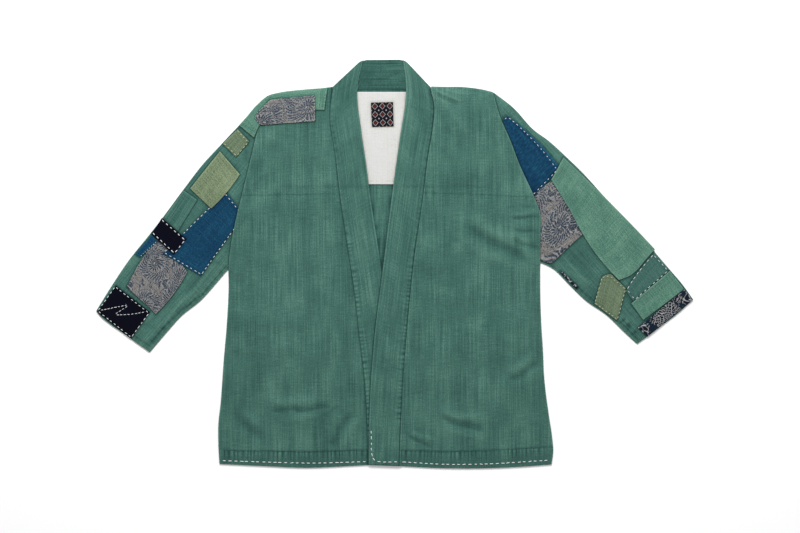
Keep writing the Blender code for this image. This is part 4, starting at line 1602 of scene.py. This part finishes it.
@dataclass
class NeckBand:
    """The folded strip from hem round the neck to hem."""

    maker: Maker

    def build(self) -> None:
        """Both front stretches, their diagonal folds and the back stretch."""
        across = stations(BAND_WIDE, 2.0, 0.5, 0.5, 7.0)
        along = stations(BAND_LONG, 2.4, 2.0, 0.8, 12.0)
        share = across[None, :, None]
        sides: dict[str, np.ndarray] = {}
        turns: dict[str, np.ndarray] = {}
        ends: dict[str, np.ndarray] = {}
        for side, seam, free in (
                ("left", BAND_SEAM_LEFT, BAND_FREE_LEFT),
                ("right", BAND_SEAM_RIGHT, BAND_FREE_RIGHT)):
            net = (smooth_line(seam, along)[:, None] * (1 - share)
                   + smooth_line(free, along)[:, None] * share)
            run = net[-1, -1] - net[-1, 0]
            out = np.array((-run[1], run[0])) / np.linalg.norm(run)
            turns[side] = out if side == "left" else -out
            sides[side] = net
            ends[side] = net[-1].copy()
        t = even(60)[:, None, None]
        sag = NECK_SAG * np.sin(np.pi * t) * (1 - share) * np.array((0, 1.0))
        back = (sides["left"][-1][None] * (1 - t)
                + sides["right"][-1][None] * t - sag)
        heap = self.maker.heap
        heap.lay("band_back", back, BAND_CLOTH, floor=True)
        rests = {
            "left": heap.lay("band_left", sides["left"], BAND_CLOTH,
                             BAND_LEFT_RELIEF, ("front_left",)),
            "right": heap.lay("band_right", sides["right"], BAND_CLOTH,
                              BAND_RIGHT_RELIEF,
                              ("front_left", "front_right"))}

        edge = np.minimum(across, 1 - across) * BAND_WIDE
        full = rounded(edge / BAND_RIM)
        crease = sum(fold.rise(back) for fold in BACK_STRETCH_FOLDS)
        from_side = np.minimum(run_of(back[:, 0])[:, None], run_of(
            back[::-1, 0])[::-1, None])

        def skin(outside: bool) -> np.ndarray:
            """One whole skin of the band, hem to hem.

            A front stretch turns over its diagonal fold along half a circle
            and becomes the back stretch, whose upper skin was its lower one.
            """
            sign = 1.0 if outside else -1.0
            stretches = []
            for side in ("left", "right"):
                net, rest = sides[side], rests[side]
                line, out = ends[side], turns[side]
                half = BAND_CLOTH / 2
                wall = half * full[None, :] * np.ones(len(net))[:, None]
                first = rounded(run_of(net[:, 0]) / 1.2)[:, None]
                middle = rest + half
                height = middle + sign * wall * first
                top, low = middle[-1], np.full(len(line), half)
                reach = float(np.max(top + half)) / 2
                arm = (np.max(top) - half) / 2 + sign * half
                left_over = BAND_LONG * (1 - along)
                short = soft_step(1 - left_over / BAND_TURN)
                net = net - out * reach * short[:, None, None]
                turned = []
                for angle in np.radians(np.linspace(15, 180, 12)):
                    place = line + out * (arm * np.sin(angle) - reach)
                    level = ((top + low) / 2
                             + (top - low) / 2 * np.cos(angle)
                             + sign * wall[-1] * np.cos(angle))
                    turned.append(np.concatenate(
                        (place, level[:, None]), axis=1))
                flat = np.concatenate((net, height[..., None]), axis=2)
                stretches.append(
                    np.concatenate((flat, np.stack(turned)), axis=0))
            left, right = stretches
            start, end = left[-1, :, :2], right[-1, :, :2]
            middle = start[None] * (1 - t) + end[None] * t - sag
            level = BAND_CLOTH / 2 * (1 - sign * full)[None, :] * np.ones(
                (len(middle), 1))
            if not outside:
                level = level + np.maximum(crease, -0.9) * soft_step(
                    edge / 6)[None, :]
            middle = np.concatenate((middle, level[..., None]), axis=2)[1:-1]
            net = np.concatenate((left, middle, right[::-1]), axis=0)
            return placed(net)

        over, under = blunt(skin(True)), blunt(skin(False))
        rows, cols = over.shape[:2]
        run = run_of(over[:, cols // 2])
        wide = across * BAND_WIDE * MM
        uv = np.stack(np.broadcast_arrays(wide[None, :], run[:, None]),
                      axis=-1)
        hemmed = (1 - across) * BAND_WIDE - BAND_HEM
        # Lighter lines along the band's edges, partly rubbing and partly a
        # painted highlight, a darker line along its hem line and a lighter one
        # beside it
        lines = (0.75 * np.exp(-edge / 1.5) - 0.45 * np.exp(
            -(hemmed / 0.9) ** 2) + 0.25 * np.exp(-(hemmed - 2) ** 2))
        # The right stretch is painted a little lighter than the left, as
        # painted light
        tone_sides = {
            side: relief.tone(sides[side]) + lines[None, :]
            + (0.04 if side == "right" else 0.0)
            for side, relief in (("left", BAND_LEFT_RELIEF),
                                 ("right", BAND_RIGHT_RELIEF))}
        plain = rows - 2 * len(along)
        turn = (plain - len(back) + 2) // 2
        tone = np.concatenate((
            tone_sides["left"], np.full((plain, cols), 0.0),
            tone_sides["right"][::-1]))
        inner = np.zeros((rows, cols))
        first = len(along) + turn
        # Its upper face is darker all over, with painted shade in its creases,
        # towards its sides and along its lower edge
        inner[first:first + len(back) - 2] = (
            -0.5 + 0.35 * crease - 0.8 * np.exp(-from_side / 5)
            - 0.6 * np.exp(-edge / 1.6) * (across < 0.5))[1:-1]
        piece = joined("neck_band_cloth", over, under, uv, (tone, inner))
        for first, layer, net in ((0, "band_left", sides["left"]),
                                  (rows - len(along), "band_right",
                                   sides["right"][::-1])):
            self.maker.marks.append((piece, first * cols, layer, net))
        size = (BAND_WIDE * MM, float(run[-1]))
        self.maker.cloth(piece, "neck_band", Cloth.GREEN, size,
                         size[0] * size[1] * 0.98)


@dataclass
class Sleeve:
    """One sleeve: a flattened tube with rounded folds, open at both ends."""

    maker: Maker
    cut: SleeveCut
    cell: float = 3.0

    def armhole(self, at: np.ndarray, tuck: float) -> np.ndarray:
        """The armhole line, its middle tucked in below the front."""
        rail = SIDE_LEFT if self.cut.side < 0 else SIDE_RIGHT
        low = self.cut.under[0][1]
        rows = [self.cut.upper[0]]
        rows += [p for p in reversed(rail) if low + 8 < p[1] < 660]
        rows.append(self.cut.under[0])
        line = smooth_line(rows, at)
        inward = tuck * (0.35 + 0.65 * soft_step(
            np.minimum(at, 1 - at) / 0.14))
        line[:, 0] += self.cut.side * (ARM_SEAM - inward)
        return line

    def net(self, across: np.ndarray, along: np.ndarray,
            tuck: float) -> np.ndarray:
        """The net of one wall, from the upper fold to the underarm fold."""
        start = self.armhole(across, tuck)
        end = smooth_line((self.cut.upper[-1], *self.cut.cuff,
                           self.cut.under[-1]), across)
        upper = smooth_line(self.cut.upper, along)
        under = smooth_line(self.cut.under, along)
        upper[0], under[0] = start[0], start[-1]
        return fill_in(start, end, upper, under, across, along)

    def build(self) -> None:
        """The tube: upper wall, underarm fold, lower wall, upper fold."""
        cut, heap = self.cut, self.maker.heap
        across = stations(200, self.cell, 0.9, 0.9, 8.0)
        along = stations(430, self.cell, 2.0, 0.8, 6.0)
        above = self.net(across, along, ARM_TUCK)
        below = self.net(even(16), along, 0.0)
        heap.lay(cut.name + "_lower", below, CLOTH, floor=True)
        rest = heap.lay(cut.name, above, CLOTH, cut.relief,
                        ("yoke_lining",))
        plan, under_plan = above.copy(), below.copy()
        for net in (above, below):
            for edge, step in ((0, 1), (-1, -2)):
                way = net[:, step] - net[:, edge]
                way /= np.linalg.norm(way, axis=1)[:, None]
                away = np.linalg.norm(net - net[:, edge][:, None], axis=2)
                pull = FOLD_REACH * np.exp(-away / 4.0)[..., None]
                net += way[:, None] * pull
        cuff = rounded(np.linalg.norm(above - above[-1:], axis=2), 0.01)
        half = CLOTH / 2

        def turn(edge: int, inner: int, top: np.ndarray, bottom: np.ndarray,
                 reach: float, angles: np.ndarray) -> np.ndarray:
            """The rounded fold between the walls, as half an ellipse."""
            centre = (above[:, edge] + below[:, edge]) / 2
            out = centre - (above[:, inner] + below[:, inner]) / 2
            out /= np.linalg.norm(out, axis=1)[:, None]
            columns = []
            for angle in angles:
                place = centre + out * reach * np.sin(angle)
                level = ((top + bottom) / 2
                         + (top - bottom) / 2 * np.cos(angle))
                columns.append(np.concatenate((place, level[:, None]), 1))
            return np.stack(columns, axis=1)

        def ring(sign: float, reach: float) -> np.ndarray:
            """One skin of the tube."""
            angles = np.radians(np.linspace(0, 180, 9)[1:-1])
            top = rest + half + sign * half * cuff
            bottom = half - sign * half * cuff[:, :1] * np.ones(
                below.shape[:2])
            upper = np.concatenate((above, top[..., None]), axis=2)
            lower = np.concatenate((below, bottom[..., None]), axis=2)
            under_fold = turn(-1, -2, top[:, -1], bottom[:, -1], reach,
                              angles)
            upper_fold = turn(0, 1, top[:, 0], bottom[:, 0], reach,
                              angles[::-1])
            net = np.concatenate((upper, under_fold, lower[:, ::-1],
                                  upper_fold), axis=1)
            return placed(net)

        outer, inner = ring(1.0, FOLD_REACH), ring(-1.0, INNER_REACH)
        cos, sin = np.cos(cut.turn), np.sin(cut.turn)
        flat = outer[..., :2]
        uv = np.stack((flat[..., 0] * cos + flat[..., 1] * sin,
                       flat[..., 1] * cos - flat[..., 0] * sin), axis=-1)
        tone = np.zeros(outer.shape[:2])
        cols = above.shape[1]
        tone[:, :cols] = (cut.relief.tone(plan)
                          + edge_rubbing_and_highlight(plan, 2.2, 0.5))
        piece = joined(cut.name + "_cloth", outer, inner, uv, (tone, tone),
                       ring=True)
        around = outer[..., :2] / MM + MIDDLE
        around[:, cols:] = FAR_OFF
        self.maker.marks.append((piece, 0, cut.name, around))
        area = flat_area(plan) + flat_area(under_plan)
        wide, long = SLEEVE_SHEET
        self.maker.cloth(piece, cut.name, Cloth.GREEN, SLEEVE_SHEET,
                         min(area, 0.99 * wide * long))


@dataclass
class PatchWork:
    """The sewn-on patches and the label."""

    maker: Maker
    cell: float = 1.9

    def build(self, patch: Patch, beside: Iterable[str] = ()) -> None:
        """One patch: turned-in edges, dimples at its stitches, its net.

        Args:
            patch: Its row.
            beside: What it meets edge to edge.
        """
        wide, deep = patch.sizes()
        across, along = (stations(size, self.cell, 0.5, 0.5, 3.0)
                         for size in (wide, deep))
        net = patch.net(across, along)
        puckers = tuple(
            Pucker(tuple(map(tuple, patch.seam(int(side)))), patch.pitch,
                   0.16, 2.6, 0, 0.3, 0.25) for side in patch.sewn
            if patch.gauge > 0.9)
        label = patch.cloth is Cloth.LABEL
        relief = Relief(patch.folds, puckers, 0.0 if label else 0.25,
                        reach=10.0, ripple=0.0 if label else 0.13,
                        seed=len(patch.name) * 7 + int(abs(wide)))
        base = self.maker.heap.lay(patch.name, net, PATCH_CLOTH, relief,
                                   beside)
        gap = edge_gap(net)
        turned = 0.35 * soft_step((9 - gap) / 2.5) * soft_step(gap / 1.2)
        base = base + (0 if label else turned)
        uv = np.stack(np.broadcast_arrays(
            across[None, :] * wide, -along[:, None] * deep), axis=-1) * MM
        tone = edge_rubbing_and_highlight(net, 1.3, 0.9) + relief.tone(net)
        uv = uv + ((0.0, deep * MM) if label
                   else np.array(patch.shift) * MM)
        self.maker.panel(patch.name, net, base, tone, patch.cloth,
                         PATCH_CLOTH, PATCH_RIM, uv, patch.cut())


@dataclass
class Stitching:
    """All running stitches, as small raised threads on the cloth."""

    maker: Maker
    uneven_pitch: float = 0.05
    uneven_turn: float = 0.07
    uneven_length: float = 0.09
    rng: np.random.Generator = field(
        default_factory=lambda: np.random.default_rng(17))

    def sew(self, name: str, carrier: str, thread: Thread,
            lines: Sequence[Line | np.ndarray], pitch: float, long: float,
            gauge: float) -> None:
        """Stitches along some lines, joined in one mesh.

        Each stitch is a spindle: five rings of six points whose radius is a
        root of one less the square of the place along it, bent down at both
        ends so that they go into the cloth.

        Args:
            name: The piece's name.
            carrier: The layer that it is sewn to.
            thread: Its thread.
            lines: The lines to follow.
            pitch: The distance from stitch to stitch.
            long: The length of a stitch.
            gauge: The width of the thread.
        """
        middles, ways = [], []
        for line in lines:
            rows = np.asarray(line, float)
            run = run_of(rows)[-1]
            count = max(1, int(run // pitch))
            at = (np.arange(count) + 0.5) * run / count
            at = at + self.rng.normal(0, self.uneven_pitch * pitch, count)
            rows = corner_line(rows, np.clip(np.stack(
                (at - 0.5, at, at + 0.5)) / run, 0, 1).ravel())
            rows = rows.reshape(3, count, 2)
            way = rows[2] - rows[0]
            middles.append(rows[1])
            ways.append(way / np.linalg.norm(way, axis=1)[:, None])
        middle, way = np.concatenate(middles), np.concatenate(ways)
        count = len(middle)
        turn = self.rng.normal(0, self.uneven_turn, count)
        cos, sin = np.cos(turn), np.sin(turn)
        way = np.stack((way[:, 0] * cos - way[:, 1] * sin,
                        way[:, 1] * cos + way[:, 0] * sin), axis=1)
        side = np.stack((-way[:, 1], way[:, 0]), axis=1)
        size = long / 2 * self.rng.normal(1, self.uneven_length, count)
        t = np.array((-1.0, -0.72, 0.0, 0.72, 1.0))
        spine = (middle[:, None] + way[:, None] * (
            t[None, :, None] * size[:, None, None]))
        level = self.maker.heap.top(carrier, spine)
        level = level + gauge * (0.34 - 0.55 * t[None, :] ** 4)
        radius = gauge / 2 * np.array((0.3, 0.86, 1.0, 0.86, 0.3))
        angle = np.arange(6) * np.pi / 3
        plan = (spine[:, :, None] + side[:, None, None]
                * (radius[:, None] * np.cos(angle))[None, ..., None])
        height = (level[:, :, None]
                  + (radius[:, None] * np.sin(angle))[None] * 0.8)
        index = np.arange(count * 30).reshape(count, 5, 6)
        quads = np.stack((index[:, :-1], np.roll(index, -1, 2)[:, :-1],
                          np.roll(index, -1, 2)[:, 1:], index[:, 1:]),
                         axis=-1).reshape(-1, 4)
        caps = np.concatenate((index[:, 0, ::-1], index[:, -1]))
        piece = make_mesh(name, lift(plan, height), [quads, caps], plan * MM)
        self.maker.dress(piece, thread)

    def build(self) -> None:
        """The stitches of the patches, of the hems and of the seams."""
        for patch in SLEEVE_PATCHES + SHOULDER_PATCHES:
            if patch.sewn:
                self.sew(patch.name + "_stitches", patch.name, patch.thread,
                         [patch.seam(int(side)) for side in patch.sewn],
                         patch.pitch, patch.long, patch.gauge)
        for k, row in enumerate(RUNNINGS, 1):
            self.sew(f"running_stitch_{k}", row.carrier, row.thread,
                     [smooth_line(row.line, even(120))], row.pitch, row.long,
                     row.gauge)


@dataclass
class Studio:
    """The pale floor, the soft lights and the camera straight above."""

    wide: float = 1.48
    lens: float = 85.0
    sensor: float = 36.0
    above: Point = (0.0098, -0.0032)
    sky: float = 0.53

    def build(self) -> None:
        """Floor, world, lights and camera, in plain display colours."""
        bpy.context.scene.view_settings.view_transform = "Standard"
        self.floor()
        self.lights()
        self.camera()

    def floor(self) -> None:
        """A large plain pale floor under the jacket."""
        half, level = 6.0, -0.0006
        corners = [(-half, -half, level), (half, -half, level),
                   (half, half, level), (-half, half, level)]
        mesh = bpy.data.meshes.new("floor")
        mesh.from_pydata(corners, [], [(0, 1, 2, 3)])
        floor = bpy.data.objects.new("floor", mesh)
        bpy.context.scene.collection.objects.link(floor)
        material = bpy.data.materials.new("floor")
        material.use_nodes = True
        desk = Desk(material.node_tree)
        shader = material.node_tree.nodes["Principled BSDF"]
        where = desk.put("ShaderNodeTexCoord")
        cloud = desk.noise(where.outputs["Object"], 0.9, 0.9, 2.0)
        desk.feed(shader, {"Roughness": 0.9, "Base Color": desk.mix(
            cloud, (0.93, 0.93, 0.93, 1), (0.95, 0.95, 0.95, 1))})
        mesh.materials.append(material)

    def lights(self) -> None:
        """A bright even sky and one large soft light from the neck side."""
        world = bpy.data.worlds.new("studio")
        bpy.context.scene.world = world
        world.use_nodes = True
        Desk(world.node_tree).feed(
            world.node_tree.nodes["Background"],
            {"Color": (1, 1, 1, 1), "Strength": self.sky})
        for name, place, size, power in (
                ("key", (-0.15, 1.84, 1.92), 1.3, 75.0),
                ("fill", (1.2, -1.2, 2.4), 1.8, 6.0)):
            light = bpy.data.lights.new(name, "AREA")
            light.shape = "DISK"
            light.size = size
            light.energy = power
            lamp = bpy.data.objects.new(name, light)
            lamp.location = place
            to = -np.array(place)
            lamp.rotation_euler = (
                float(np.arccos(-to[2] / np.linalg.norm(to))), 0.0,
                float(np.arctan2(to[1], to[0]) - np.pi / 2))
            bpy.context.scene.collection.objects.link(lamp)

    def camera(self) -> None:
        """The camera straight above, framed as the photograph is."""
        data = bpy.data.cameras.new("camera")
        data.lens, data.sensor_width = self.lens, self.sensor
        data.clip_end = 50.0
        camera = bpy.data.objects.new("camera", data)
        camera.location = (*self.above, self.wide * self.lens / self.sensor)
        bpy.context.scene.collection.objects.link(camera)
        bpy.context.scene.camera = camera


def main() -> None:
    """Load the frame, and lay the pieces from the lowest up."""
    logging.basicConfig(level=logging.INFO, format="%(message)s")
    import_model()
    Studio().build()
    maker = Maker(Heap(), Wardrobe())
    body, patches = Body(maker), PatchWork(maker)
    body.build_back()
    body.build_lining()
    patches.build(LABEL)
    for cut in SLEEVES:
        Sleeve(maker, cut).build()
    for patch in (EDGE_SLIVER, *SLEEVE_PATCHES):
        patches.build(patch)
    body.fronts()
    for patch in SHOULDER_PATCHES:
        patches.build(patch, ("band_left", "band_back"))
    maker.shade_edges()
    Stitching(maker).build()
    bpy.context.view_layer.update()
    total = sum(len(piece.data.polygons) for piece in maker.made)
    LOG.info("%d pieces, %d faces", len(maker.made), total)


if __name__ == "__main__":
    main()
